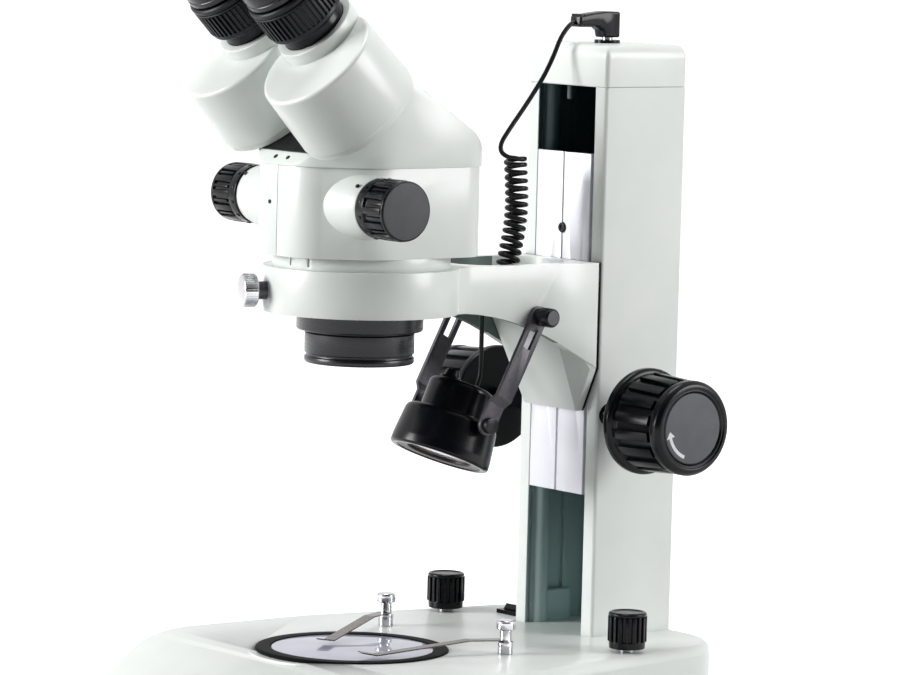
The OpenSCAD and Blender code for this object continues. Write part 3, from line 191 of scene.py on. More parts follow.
columnBox = [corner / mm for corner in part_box("column")]
channelFloor = columnBox[0].z * mm
channelTop = (columnBox[0].z + 2 * columnBox[1].z) / 3 * mm  # its upper third stays dark
finishes = {
    # baked enamel on cast aluminium: hard and satin, with a faint orange peel, and painted greenish
    # shade in its creases
    "bakedEnamel": {"base": "#E6EAE7", "tone": "#DFE4E1", "paintedCreaseShade": "#8E9893", "blotch": 45,
                    "grain": 1.6, "depth": 0.05, "strength": 0.25, "roughness": (0.34, 0.44),
                    "coat": 0.25, "coatRoughness": 0.18},
    # grey-green primer of the pin on the column's cap; on the arm the same colour is painted shade on
    # the faces under it and on the walls of its well
    "primerAndPaintedShade": {"base": "#66756F", "tone": "#5D6C66", "paintedCreaseShade": "#3C4844", "blotch": 35,
                   "grain": 1.4, "depth": 0.06, "strength": 0.3, "roughness": (0.45, 0.6)},
    # dark enamel inside the extruded column, with painted light that makes it paler towards the base
    "channelEnamel": {"base": "#34464A", "tone": "#3F5254", "streak": "#2F4144",
                      "stretch": (1, 1, 0.03), "paintedLightFade": (channelFloor, channelTop, "#BCD2D2"),
                      "blotch": 30, "grain": 1.2, "depth": 0.05, "roughness": (0.4, 0.55)},
    # silver anodising over drawn aluminium: bright, matt, with fine lines along the length
    "silverAnodising": {"base": "#E4E4EA", "tone": "#DEDEE6", "streak": "#E0E0E7",
                        "stretch": (1, 1, 0.02), "blotch": 60, "grain": 0.7, "depth": 0.02,
                        "strength": 0.3, "roughness": (0.32, 0.45), "metallic": 0.35},
    # moulded ABS with a spark-eroded satin: black, with a soft bluish sheen
    "mouldedAbs": {"base": "#06070B", "tone": "#0A0B11", "blotch": 18, "grain": 0.35, "depth": 0.02,
                   "strength": 0.3, "roughness": (0.18, 0.28), "specular": 0.2},
    # satin foil disc pressed into a knob's end: flat warm grey with a fine grain
    "satinDisc": {"base": "#4A4B50", "tone": "#515257", "blotch": 9, "grain": 0.25, "depth": 0.02,
                  "strength": 0.3, "roughness": (0.42, 0.55), "specular": 0.4},
    # the same foil in a darker grey, on the zoom knobs
    "darkDisc": {"base": "#36373B", "tone": "#3C3D41", "blotch": 9, "grain": 0.25, "depth": 0.02,
                 "strength": 0.3, "roughness": (0.42, 0.55), "specular": 0.35},
    # turned aluminium with black anodising: tight tool rings and a broad metallic sheen
    "blackAnodising": {"base": "#121217", "tone": "#18181E", "streak": "#19191F", "follows": True,
                       "stretch": (0.004, 1, 1), "blotch": 20, "grain": 0.5, "depth": 0.02,
                       "strength": 0.4, "roughness": (0.22, 0.34), "metallic": 0.2, "specular": 0.45},
    # black paint on the stage ring: matt, so that it stays black when seen from low down
    "mattBlackPaint": {"base": "#09090B", "tone": "#0D0D10", "blotch": 15, "grain": 0.5, "depth": 0.02,
                       "strength": 0.3, "roughness": (0.5, 0.6), "specular": 0.04},
    # moulded natural rubber: dead black with a dusty bloom
    "mouldedRubber": {"base": "#0C0D12", "tone": "#12131A", "blotch": 8, "grain": 0.5, "depth": 0.03,
                      "strength": 0.3, "roughness": (0.32, 0.46), "specular": 0.22},
    # polished nickel plate: mirror with faint buffing swirls
    "nickelPlate": {"base": "#D6D6D8", "tone": "#C6C6CA", "blotch": 6, "grain": 1.5, "depth": 0.01,
                    "strength": 0.15, "roughness": (0.1, 0.2), "metallic": 1.0},
    # spring steel strip, rubbed bare: warm grey, unevenly bright
    "springSteel": {"base": "#7D7672", "tone": "#6B6460", "streak": "#57514D", "blotch": 12,
                    "grain": 0.8, "depth": 0.02, "roughness": (0.2, 0.36), "metallic": 1.0},
    # turned free-cutting steel of screws and shafts: bright, broken by fine tool lines
    "turnedSteel": {"base": "#A8A9AC", "tone": "#9A9B9F", "blotch": 5, "grain": 0.5, "depth": 0.02,
                    "roughness": (0.22, 0.35), "metallic": 1.0},
    # black zinc on steel sheet: dull purple-grey, rubbed lighter where it slides
    "blackZinc": {"base": "#4B494F", "tone": "#5A575C", "streak": "#403E44", "blotch": 14, "grain": 0.9,
                  "depth": 0.03, "roughness": (0.34, 0.5), "metallic": 0.5},
    # machined brass of the rack: warm yellow, half bright
    "cutBrass": {"base": "#B39755", "tone": "#A48A4C", "blotch": 8, "grain": 0.6, "depth": 0.02,
                 "roughness": (0.25, 0.4), "metallic": 1.0},
    # blackened steel of small screws: nearly black, with a dull metal shine
    "blackenedSteel": {"base": "#1A1A1C", "tone": "#232326", "blotch": 4, "grain": 0.5, "depth": 0.02,
                       "roughness": (0.3, 0.42), "metallic": 0.7},
    # soft PVC of the cord: even black with a slight shine
    "cordPvc": {"base": "#0B0B0D", "tone": "#111114", "blotch": 8, "grain": 0.6, "depth": 0.02,
                "roughness": (0.28, 0.4), "specular": 0.2},
    # white solder mask on glass-fibre board: an even off-white with a soft shine
    "solderMask": {"base": "#E9E9E2", "tone": "#DFE0D8", "blotch": 10, "grain": 0.8, "depth": 0.02,
                   "roughness": (0.35, 0.5)},
    # galvanised steel of the bottom sheet: grey, mottled with paler spangles
    "zincSheet": {"base": "#8D9194", "tone": "#7C8083", "streak": "#A3A6A8", "blotch": 15, "grain": 4,
                  "depth": 0.02, "roughness": (0.35, 0.5), "metallic": 0.8},
    # white pad-printing ink: flat and opaque
    "printInk": {"base": "#F0F0F0", "tone": "#E2E2E4", "blotch": 3, "grain": 0.4, "depth": 0.01,
                 "roughness": (0.45, 0.6)},
    # aluminised plastic of the lamp's reflector: a bright, slightly warm mirror
    "aluminisedCup": {"base": "#C9C5C2", "tone": "#B7B2AE", "blotch": 5, "grain": 0.9, "depth": 0.03,
                      "roughness": (0.12, 0.25), "metallic": 1.0},
    # blackened turned brass of the lamp's front ring: brown-black with a dull shine
    "bronzedRing": {"base": "#3A3230", "tone": "#2E2827", "blotch": 6, "grain": 0.7, "depth": 0.02,
                    "roughness": (0.3, 0.45), "metallic": 0.5},
}
glasses = {
    # finely ground plate glass: milky and slightly lavender, glossy on its top
    "groundGlass": {"base": "#C4C6E2", "tone": "#BBBEDC", "blotch": 25, "roughness": (0.3, 0.42),
                    "clear": 0.25, "coat": 0.8},
    # coated optical glass: dark, with a bluish bloom
    "coatedGlass": {"base": "#9FB2D8", "tone": "#B39AD0", "blotch": 30, "roughness": (0.01, 0.03),
                    "clear": 0.9, "coat": 0.4},
    # pressed glass cover of the lamp: clear and a little wavy
    "pressedGlass": {"base": "#E9EAEC", "tone": "#DCDDE1", "blotch": 6, "roughness": (0.03, 0.1),
                     "clear": 0.92},
}
finish = {name: makeFinish(name, look) for name, look in finishes.items()}
finish.update({name: makeGlass(name, look) for name, look in glasses.items()})
print(len(finish), "finishes mixed")

# an edge turned by more than sharp degrees stays sharp; points nearer than weld mm are one
edges = {"sharp": 32, "flat": 0.6, "weld": 0.004, "segments": 2}


# a place at origin whose Z points along axis
def axisPlace(origin, axis):
    axis = Vector(axis).normalized()
    side = Vector((0, 0, 1)).cross(axis) if abs(axis.z) < 0.99 else Vector((0, 1, 0)).cross(axis)
    side.normalize()
    turn = Matrix((side, axis.cross(side), axis)).transposed().to_4x4()
    return Matrix.Translation(Vector(origin)) @ turn


# a mesh becomes a piece that rides on a body, and may stand for CAD nodes; None keeps its own finishes
def addPiece(name, data, material, body, replaced=()):
    if material is not None:
        data.materials.clear()
        data.materials.append(finish[material])
    data.shade_smooth()
    data.set_sharp_from_angle(angle=math.radians(edges["sharp"]))
    piece = bpy.data.objects.new(name, data)
    bpy.context.scene.collection.objects.link(piece)
    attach(piece, body)
    if replaced:
        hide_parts(*replaced)
    return piece


def meshOf(shape, name):
    data = bpy.data.meshes.new(name)
    shape.to_mesh(data)
    shape.free()
    return data


# all faces of a closed shape look outwards
def outward(shape):
    bmesh.ops.recalc_face_normals(shape, faces=shape.faces)
    if shape.calc_volume(signed=True) < 0:
        bmesh.ops.reverse_faces(shape, faces=shape.faces)


# corners of a turned profile are rounded by the given radius in mm
def soften(points, radius, steps=3):
    soft = [Vector(points[0])]
    for before, corner, after in zip(points, points[1:], points[2:]):
        before, corner, after = Vector(before), Vector(corner), Vector(after)
        into, out = before - corner, after - corner
        reach = min(radius, into.length * 0.45, out.length * 0.45)
        start, end = corner + into.normalized() * reach, corner + out.normalized() * reach
        for i in range(steps + 1):
            t = i / steps
            soft.append(start * (1 - t) ** 2 + corner * 2 * t * (1 - t) + end * t * t)
    return soft + [Vector(points[-1])]


# turns (radius, height) points in mm round Z; closed joins the last point to the first
def turned(points, place, segments=96, closed=False):
    shape = bmesh.new()
    layer = shape.loops.layers.uv.new("surface")
    lengths = [0.0]
    for a, b in zip(points, points[1:]):
        lengths.append(lengths[-1] + (Vector(b) - Vector(a)).length * mm)
    rings = []
    for r, z in points:
        count = 1 if r < 0.001 else segments
        rings.append([shape.verts.new((r * mm * math.cos(2 * math.pi * i / segments),
                                       r * mm * math.sin(2 * math.pi * i / segments), z * mm))
                      for i in range(count)])
    pairs = list(zip(range(len(rings)), range(1, len(rings))))
    if closed:
        pairs.append((len(rings) - 1, 0))
    for a, b in pairs:
        for i in range(segments):
            j = (i + 1) % segments
            corners = []
            for ring, step in ((a, i), (a, j), (b, j), (b, i)):
                vertex = rings[ring][step % len(rings[ring])]
                if vertex not in [c[0] for c in corners]:
                    turn = step if step or not i else segments
                    corners.append((vertex, turn / segments * 0.1, lengths[ring]))
            if len(corners) > 2:
                face = shape.faces.new([c[0] for c in corners])
                for loop, (vertex, u, v) in zip(face.loops, corners):
                    loop[layer].uv = (u, v)
    outward(shape)
    data = meshOf(shape, "turned")
    data.transform(place)
    return data


# points round a centre, from the first angle to the last in degrees
def arcPoints(x, z, radius, first, last, steps=5):
    angles = [math.radians(first + (last - first) * i / steps) for i in range(steps + 1)]
    return [(x + radius * math.cos(a), z + radius * math.sin(a)) for a in angles]


# corners (x, y, radius) of a flat outline, rounded and moved inwards by inset mm
def outlinePoints(corners, inset=0.0, steps=5):
    points = []
    count = len(corners)
    for i, (x, y, radius) in enumerate(corners):
        before, corner, after = (Vector(corners[(i + k) % count][:2]) for k in (-1, 0, 1))
        into, out = (corner - before).normalized(), (after - corner).normalized()
        normals = Vector((-into.y, into.x)), Vector((-out.y, out.x))
        corner = corner + inset * (normals[0] + normals[1]) / (1 + normals[0].dot(normals[1]))
        if not radius:
            points.append(corner)
            continue
        radius = max(radius - inset, 0.3)
        turn = math.atan2(into.x * out.y - into.y * out.x, into.dot(out))
        reach = radius * abs(math.tan(turn / 2))
        centre = corner - into * reach + math.copysign(radius, turn) * normals[0]
        first = math.atan2(*reversed(corner - into * reach - centre))
        points += [centre + radius * Vector((math.cos(first + turn * k / steps),
                                             math.sin(first + turn * k / steps)))
                   for k in range(steps + 1)]
    return points


# a skin over rings of points in mm, each (outline, height), closed at both ends
def lofted(rings):
    shape = bmesh.new()
    loops = [[shape.verts.new((p.x * mm, p.y * mm, z * mm)) for p in points] for points, z in rings]
    for a, b in zip(loops, loops[1:]):
        for i in range(len(a)):
            shape.faces.new((a[i], a[(i + 1) % len(a)], b[(i + 1) % len(a)], b[i]))
    ends = [shape.faces.new(loops[0][::-1]), shape.faces.new(loops[-1])]
    bmesh.ops.triangulate(shape, faces=ends)
    outward(shape)
    return meshOf(shape, "lofted")


# a merged copy of a CAD node, its sharp edges rounded by bevel mm; choose picks a finish for each face
def castCopy(name, node, body, material, bevel=0.0, choose=None, others=()):
    shape = bmesh.new()
    shape.from_mesh(nodes[node].data)
    bmesh.ops.remove_doubles(shape, verts=shape.verts, dist=edges["weld"] * mm)
    flat = math.radians(edges["flat"])
    bmesh.ops.dissolve_limit(shape, angle_limit=flat, verts=shape.verts, edges=shape.edges)
    data = meshOf(shape, name)
    if bevel:
        draft = bpy.data.objects.new("draft", data)
        bpy.context.scene.collection.objects.link(draft)
        edge = draft.modifiers.new("edge", "BEVEL")
        edge.width, edge.segments, edge.limit_method = bevel * mm, edges["segments"], "ANGLE"
        edge.angle_limit = math.radians(edges["sharp"])
        edge.miter_outer = "MITER_ARC"
        view = bpy.context.evaluated_depsgraph_get()
        data = bpy.data.meshes.new_from_object(draft.evaluated_get(view))
        bpy.data.objects.remove(draft)
    data.materials.clear()
    for key in (material, *others):
        data.materials.append(finish[key])
    if choose:
        for face in data.polygons:
            face.material_index = choose(face.center, face.normal)
    return addPiece(name, data, None, body, [node])


def addSocket(tree, name, kind, direction="INPUT"):
    return tree.interface.new_socket(name=name, in_out=direction, socket_type=kind)


# Count copies of a part stand round a circle, each turned with it
def ringTree():
    tree = bpy.data.node_groups.new("ringOfParts", "GeometryNodeTree")
    addSocket(tree, "Geometry", "NodeSocketGeometry")
    for name, kind in (("Part", "NodeSocketObject"), ("Count", "NodeSocketInt"),
                       ("Radius", "NodeSocketFloat"), ("Start", "NodeSocketFloat"),
                       ("Finish", "NodeSocketMaterial")):
        addSocket(tree, name, kind)
    addSocket(tree, "Geometry", "NodeSocketGeometry", "OUTPUT")
    given = addNode(tree, "NodeGroupInput").outputs
    circle = addNode(tree, "GeometryNodeMeshCircle", None,
                     {"Vertices": given["Count"], "Radius": given["Radius"]})
    part = addNode(tree, "GeometryNodeObjectInfo", None, {"Object": given["Part"]})
    index = addNode(tree, "GeometryNodeInputIndex")
    step = addNode(tree, "ShaderNodeMath", {"operation": "DIVIDE", 0: 2 * math.pi}, {1: given["Count"]})
    turn = addNode(tree, "ShaderNodeMath", {"operation": "MULTIPLY"},
                   {0: index.outputs[0], 1: step.outputs[0]})
    euler = addNode(tree, "ShaderNodeCombineXYZ", None, {"Z": turn.outputs[0]})
    rotation = addNode(tree, "FunctionNodeEulerToRotation", None, {0: euler.outputs[0]})
    spread = addNode(tree, "GeometryNodeInstanceOnPoints", None,
                     {"Points": circle.outputs["Mesh"], "Instance": part.outputs["Geometry"],
                      "Rotation": rotation.outputs[0]})
    start = addNode(tree, "ShaderNodeCombineXYZ", None, {"Z": given["Start"]})
    whole = addNode(tree, "GeometryNodeRealizeInstances", None, {"Geometry": spread.outputs[0]})
    turned = addNode(tree, "GeometryNodeTransform", None,
                     {"Geometry": whole.outputs[0], "Rotation": start.outputs[0]})
    painted = addNode(tree, "GeometryNodeSetMaterial", None,
                      {"Geometry": turned.outputs[0], "Material": given["Finish"]})
    addNode(tree, "NodeGroupOutput", None, {0: painted.outputs[0]})
    return tree


ringOfParts = ringTree()


# what a tree makes of its named inputs, as a plain mesh
def grow(tree, values):
    carrier = bpy.data.objects.new("carrier", bpy.data.meshes.new("none"))
    bpy.context.scene.collection.objects.link(carrier)
    modifier = carrier.modifiers.new("parts", "NODES")
    modifier.node_group = tree
    for item in tree.interface.items_tree:
        if item.in_out == "INPUT" and item.name in values:
            modifier[item.identifier] = values[item.name]
    view = bpy.context.evaluated_depsgraph_get()
    data = bpy.data.meshes.new_from_object(carrier.evaluated_get(view))
    bpy.data.objects.remove(carrier)
    return data


def ringOf(name, part, count, radius, place, material, body, start=0.0):
    source = bpy.data.objects.new("part", part)
    bpy.context.scene.collection.objects.link(source)
    data = grow(ringOfParts, {"Part": source, "Count": count, "Radius": radius * mm, "Start": start,
                              "Finish": finish[material]})
    bpy.data.objects.remove(source)
    data.transform(place)
    return addPiece(name, data, None, body)


# a bar along Z with rounded edges, standing out along X: sizes in mm
def barPart(wide, tall, low, high, rounding=0.3, taper=0.0):
    shape = bmesh.new()
    bmesh.ops.create_cube(shape, size=1)
    for vertex in shape.verts:
        top = vertex.co.z > 0
        out = vertex.co.x > 0
        vertex.co = Vector(((tall if out else -0.6) * mm - (taper * mm if top else 0),
                            math.copysign(wide / 2 * (0.86 if out else 1) * mm, vertex.co.y),
                            (high if top else low) * mm))
    bmesh.ops.bevel(shape, geom=shape.edges[:], offset=rounding * mm, segments=2, profile=0.6,
                    affect="EDGES")
    return meshOf(shape, "bar")


print("shapes and repeats ready")

cordPlan = {"wire": 2.4, "coilRadius": 4.8, "turns": 15.5, "sides": 10}
upperRoute = [(0, 100.1, 361.2), (0, 96, 359), (0, 91, 353), (0, 86, 343), (0, 80, 333), (0, 70, 320),
              (0, 60, 308), (0, 55, 301), (0.5, 54.8, 296.6), (2.4, 57.4, 294.2), (3.9, 60.8, 293.6)]
coilRoute = [(0, 64, 293), (0, 65, 282), (0, 65.5, 270), (0, 64.5, 258), (0, 62, 246), (0, 60, 235)]
lowerRoute = [(-4.0, 57.4, 234.2), (-2.6, 54, 233), (-0.8, 50.4, 232.6), (0, 48, 232.1),
              (0, 45.8, 229.6), (0, 45.5, 226), (0, 45.5, 214), (0, 45.6, 200), (0, 45.6, 190),
              (0, 45.2, 185.2), (0, 44.3, 182.4), (0, 43.4, 180.2)]


# Catmull-Rom points along a route
def smoothRoute(points, steps):
    points = [Vector(p) for p in points]
    last = len(points) - 1
    route = []
    for i in range(last):
        a, b, c, d = points[max(i - 1, 0)], points[i], points[i + 1], points[min(i + 2, last)]
        for k in range(steps):
            t = k / steps
            route.append(0.5 * (2 * b + (c - a) * t + (2 * a - 5 * b + 4 * c - d) * t * t
                                + (3 * b - a - 3 * c + d) * t ** 3))
    return route + [points[-1]]


# the cord's whole route in metres: down from the plug, round the coil, and through the arm to the lamp
def cordRoute(plan):
    axis = smoothRoute(coilRoute, 50)
    helix = []
    for i, centre in enumerate(axis):
        along = (axis[min(i + 1, len(axis) - 1)] - axis[max(i - 1, 0)]).normalized()
        across = Vector((1, 0, 0))
        behind = across.cross(along)
        turn = 2 * math.pi * plan["turns"] * i / (len(axis) - 1)
        helix.append(centre + plan["coilRadius"] * (math.cos(turn) * across + math.sin(turn) * behind))
    whole = smoothRoute(upperRoute + [helix[0]],
                        5)[:-1] + helix + smoothRoute([helix[-1]] + lowerRoute, 5)[1:]
    return [p * mm for p in whole]


# round tube along points, its ring carried from point to point without twisting
def tubeMesh(name, points, radius, sides):
    shape = bmesh.new()
    rings = []
    side = Vector((1, 0, 0))
    for i, point in enumerate(points):
        along = (points[min(i + 1, len(points) - 1)] - points[max(i - 1, 0)]).normalized()
        side = (side - along * side.dot(along)).normalized()
        other = along.cross(side)
        rings.append([shape.verts.new(point + radius * (math.cos(a) * side + math.sin(a) * other))
                      for a in (2 * math.pi * k / sides for k in range(sides))])
    for a, b in zip(rings, rings[1:]):
        for k in range(sides):
            shape.faces.new((a[k], a[(k + 1) % sides], b[(k + 1) % sides], b[k]))
    shape.faces.new(rings[0][::-1])
    shape.faces.new(rings[-1])
    outward(shape)
    return meshOf(shape, name)


route = cordRoute(cordPlan)
cordData = tubeMesh("lampCord", route, cordPlan["wire"] / 2 * mm, cordPlan["sides"])
cordData.materials.append(finish["cordPvc"])
cordData.shade_smooth()
lampCord = bpy.data.objects.new("lampCord", cordData)
bpy.context.scene.collection.objects.link(lampCord)
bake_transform(lampCord)
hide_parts("lamp_cord", "lamp_coil", "lamp_lead")

castings = {  # node, body, rounding of its edges in mm
    "baseCasting": ("base_housing", "base", 0.0), "flangeCasting": ("head_flange", "head", 0.5),
    "lowerCasting": ("lower_housing", "head", 0.7), "topCasting": ("top_housing", "head", 1.2)}
for name, (node, body, bevel) in castings.items():
    castCopy(name, node, body, "bakedEnamel", bevel)


# painted shade: the faces under the arm and the walls of its well take the dark grey-green instead of
# the enamel; its size in mm, and how its faces look
arch = {"halfWidth": 26.5, "end": 71, "sideways": 0.7, "downwards": -0.25}


def armFinish(centre, normal):
    wall = abs(centre.x) < arch["halfWidth"] * mm and abs(normal.x) > arch["sideways"]
    return 1 if centre.y < arch["end"] * mm and (normal.z < arch["downwards"] or wall) else 0


castCopy("armCasting", "focus_arm", "carriage", "bakedEnamel", 1.2, choose=armFinish,
         others=("primerAndPaintedShade",))

# a black sheet behind the arm as painted shade in the dark gap between arm and column; it reaches this
# far into the arm and out of it
gapShadeSheet = {"deep": 1.1, "proud": 0.2}


def makeGapShadeSheet(look):
    spots = [nodes["focus_arm"].matrix_world @ v.co for v in nodes["focus_arm"].data.vertices]
    rear = max(p.y for p in spots)
    shape = bmesh.new()
    for p in spots:
        if p.y > rear - 0.05 * mm:
            for y in (rear - look["deep"] * mm, rear + look["proud"] * mm):
                shape.verts.new((p.x, y, p.z))
    skin = bmesh.ops.convex_hull(shape, input=shape.verts)
    within = {v for v in skin["geom_interior"] if isinstance(v, bmesh.types.BMVert)}
    bmesh.ops.delete(shape, geom=list(within), context="VERTS")
    bmesh.ops.dissolve_limit(shape, angle_limit=math.radians(1), verts=shape.verts, edges=shape.edges)
    addPiece("armFelt", meshOf(shape, "armFelt"), "mattBlackPaint", "carriage")


makeGapShadeSheet(gapShadeSheet)

# sizes in mm; fins, ports and pin give their places, the lug its depth, front, back and height
column = {"wall": 4, "slot": 22.5, "lip": 5, "groove": 1.4, "round": 1.8, "rib": 2, "ribDepth": 5,
          "fins": (8.5, 14.5, 26), "lug": (5, 13, 29, 16), "capRound": 7, "capSteps": 8, "port": 4.5,
          "portSpots": ((23.1, 9), (23.1, 44.1)), "pin": (-15, 14)}
capBox = [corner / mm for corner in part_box("column_cap")]


# the section of the column: its outside, then its inner wall with grooves, fins and ribs
def columnOutline(look):
    low, high = columnBox
    half, front, back = high.x, low.y, high.y
    slot, lip, inner, rear = look["slot"], front + look["lip"], half - look["wall"], back - look["wall"]
    rib, deep, edge = look["rib"], look["ribDepth"], look["round"]
    outside = [(slot, front, 0.4), (half, front, edge), (half, back, edge)]
    inside = [(rib * 5.5, rear, 0), (rib * 5.5, rear - deep, 0), (rib * 4.5, rear - deep, 0),
              (rib * 4.5, rear, 0)]
    right = outside + [(-x, y, r) for x, y, r in reversed(outside)]
    fins = [(x, front + y + shift) for y in look["fins"] for x, shift in
            ((inner, 0), (inner - rib, 0), (inner - rib, rib * 0.7), (inner, rib * 0.7))]
    wall = [(slot, front + 1.1), (slot + look["groove"], front + 1.1),
            (slot + look["groove"], front + 3.1), (slot, front + 3.1), (slot, lip + deep),
            (slot + rib, lip + deep), (slot + rib, lip), (inner, lip)]
    wall += fins + [(inner, rear)]
    left = [(-x, y, 0) for x, y in wall] + [(-x, y, 0) for x, y, r in inside]
    return right + left + [(-x, y, 0) for x, y, r in reversed(left)]


# which finish a face of the column takes: 0 outside, 1 in the channel
def columnFinish(centre, wall):
    low, high = columnBox
    deep = (low.y + 0.5) * mm < centre.y < (high.y - wall) * mm
    return 1 if deep and abs(centre.x) < (high.x - wall) * mm else 0


def makeColumn(look):
    low, high = columnBox
    points = outlinePoints(columnOutline(look))
    data = lofted([(points, low.z), (points, high.z)])
    for key in ("bakedEnamel", "channelEnamel"):
        data.materials.append(finish[key])
    for face in data.polygons:
        face.material_index = columnFinish(face.center, look["wall"] - 0.1)
    addPiece("columnExtrusion", data, None, "base", ["column"])
    for x, y in look["portSpots"]:
        for side in (-1, 1):
            tube = [(0, low.z), (look["port"], low.z), (look["port"], high.z), (0, high.z)]
            spot = Matrix.Translation((side * x * mm, (low.y + y) * mm, 0))
            addPiece("columnPort", turned(tube, spot, 40), "channelEnamel", "base")
    deep, front, back, tall = look["lug"]
    for side in (-1, 1):
        inner = high.x - look["wall"]
        ends = sorted((side * inner, side * (inner - deep)))
        corners = [(x, low.y + y, 0.8) for x, y in
                   ((ends[0], front), (ends[1], front), (ends[1], back), (ends[0], back))]
        lug = [(outlinePoints(corners), low.z), (outlinePoints(corners), low.z + tall - 0.6),
               (outlinePoints(corners, 0.6), low.z + tall)]
        addPiece("columnLug", lofted(lug), "channelEnamel", "base")
    x, y = look["pin"]
    pin = soften([(0, -8), (1.4, -8), (1.4, 0), (0, 0)], 0.7)
    spot = Matrix.Translation((x * mm, (low.y + y) * mm, high.z * mm))
    addPiece("capPin", turned(pin, spot, 20), "primerAndPaintedShade", "base")
    low, high = capBox
    corners = [(x, y, look["round"] + 0.4) for x, y in
               ((low.x, low.y), (high.x, low.y), (high.x, high.y), (low.x, high.y))]
    rise, edge = high.z - low.z, look["capRound"]
    rings = [(outlinePoints(corners, 0.45), low.z), (outlinePoints(corners, 0.0), low.z + 0.5)]
    for i in range(look["capSteps"] + 1):
        turn = math.pi / 2 * i / look["capSteps"]
        rings.append((outlinePoints(corners, 0.6 * edge * (1 - math.cos(turn))),
                      low.z + rise - edge * (1 - math.sin(turn))))
    addPiece("columnCap", lofted(rings), "bakedEnamel", "base", ["column_cap"])


makeColumn(column)
castCopy("slidePlate", "slide_plate", "carriage", "silverAnodising", 0.2)
stopScrew = {"height": 258, "radius": 2.6, "socket": 1.2}
screwProfile = soften([(0, -2.2), (stopScrew["radius"], -2.2), (stopScrew["radius"], 0.9),
                       (stopScrew["socket"], 1), (stopScrew["socket"], 0.4), (0, 0.4)], 0.2)
screwPlace = axisPlace((0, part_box("slide_plate")[0].y, stopScrew["height"] * mm), (0, -1, 0))
addPiece("slideStopScrew", turned(screwProfile, screwPlace, 24), "blackenedSteel", "carriage")
print("castings finished")

focusKnob = {"flange": 26.5, "root": 22.7, "rootEnd": 21.3, "rim": 23.5, "disc": 17.6, "length": 39,
             "ribs": 17, "ribWidth": 5.6, "ribHeight": 24.6, "ribRoot": 18, "ribDrop": 1.3}


def makeFocusKnob(side, look):
    node = "focus_knob_" + side
    low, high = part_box(node)
    pivot = joints["focus_knobs"]["pos_m"]
    sign = 1 if side == "right" else -1
    place = axisPlace((low.x if sign > 0 else high.x, pivot[1], pivot[2]), (sign, 0, 0))
    parts = ("flange", "root", "rootEnd", "rim", "disc", "length")
    flange, root, rootEnd, rim, disc, end = (look[key] for key in parts)
    profile = soften([(3.2, 0.4), (flange - 0.8, 0), (flange, 1.2), (flange, 4.2), (flange - 1, 5.2),
                      (root + 0.9, 5.8), (root, 7), (rootEnd, end - 7.6), (rim - 0.8, end - 6.9),
                      (rim, end - 5.9), (rim, end - 2.2), (rim - 1.6, end - 0.3), (disc + 2.4, end),
                      (disc + 1.6, end - 0.7), (disc + 0.9, end - 0.5), (disc + 0.2, end - 1.6),
                      (disc - 1, end - 1.7), (3.2, end - 1.8)], 0.7)
    addPiece("focusKnob" + side.title(), turned(profile, place, 120), "mouldedAbs", "focus_pinion",
             [node])
    bar = barPart(look["ribWidth"], look["ribHeight"], 7.2, end - 8.4, 0.35, look["ribDrop"])
    for vertex in bar.vertices:
        if vertex.co.x < 0.01:
            vertex.co.x = look["ribRoot"] * mm
    ringOf("focusKnobRibs" + side.title(), bar, look["ribs"], 0, place, "mouldedAbs", "focus_pinion")
    face = soften([(0, end - 0.9), (disc - 0.5, end - 0.9), (disc, end - 1.3), (disc, end - 2.2),
                   (0, end - 2.2)], 0.2)
    addPiece("focusKnobDisc" + side.title(), turned(face, place, 96), "satinDisc", "focus_pinion")
    return place


# a curved arrow printed on a flat end, between two angles in degrees, with its head at the last
def arcArrow(name, place, height, look, body):
    shape = bmesh.new()
    radius, wide, steps = look["radius"], look["wide"], look["steps"]
    reach = math.radians(look["first"]), math.radians(look["last"])
    rows = []
    for i in range(steps + 1):
        a = reach[0] + (reach[1] - reach[0]) * i / steps
        rows.append([shape.verts.new((r * mm * math.cos(a), r * mm * math.sin(a), height * mm))
                     for r in (radius - wide / 2, radius + wide / 2)])
    for a, b in zip(rows, rows[1:]):
        shape.faces.new((a[0], a[1], b[1], b[0]))
    tip = reach[1] + math.copysign(3.2 / radius, reach[1] - reach[0])
    head = [(radius - 1.6 * wide, reach[1]), (radius + 1.6 * wide, reach[1]), (radius, tip)]
    shape.faces.new([shape.verts.new((r * mm * math.cos(a), r * mm * math.sin(a), height * mm))
                     for r, a in head])
    bmesh.ops.recalc_face_normals(shape, faces=shape.faces)
    bmesh.ops.solidify(shape, geom=shape.faces[:], thickness=look["thick"] * mm)
    outward(shape)
    data = meshOf(shape, name)
    data.transform(place)
    return addPiece(name, data, "printInk", body)


knobPlaces = {side: makeFocusKnob(side, focusKnob) for side in ("right", "left")}
arrow = {"radius": 14.6, "wide": 1.7, "first": 250, "last": 196, "sunk": 0.8, "steps": 14,
         "thick": 0.06}
for side, place in knobPlaces.items():
    arcArrow("focusArrow" + side.title(), place, focusKnob["length"] - arrow["sunk"], arrow,
             "focus_pinion")
bushSizes = {"bore": 3.05, "bush": 5.98, "sleeve": 4.5, "wall": 4}


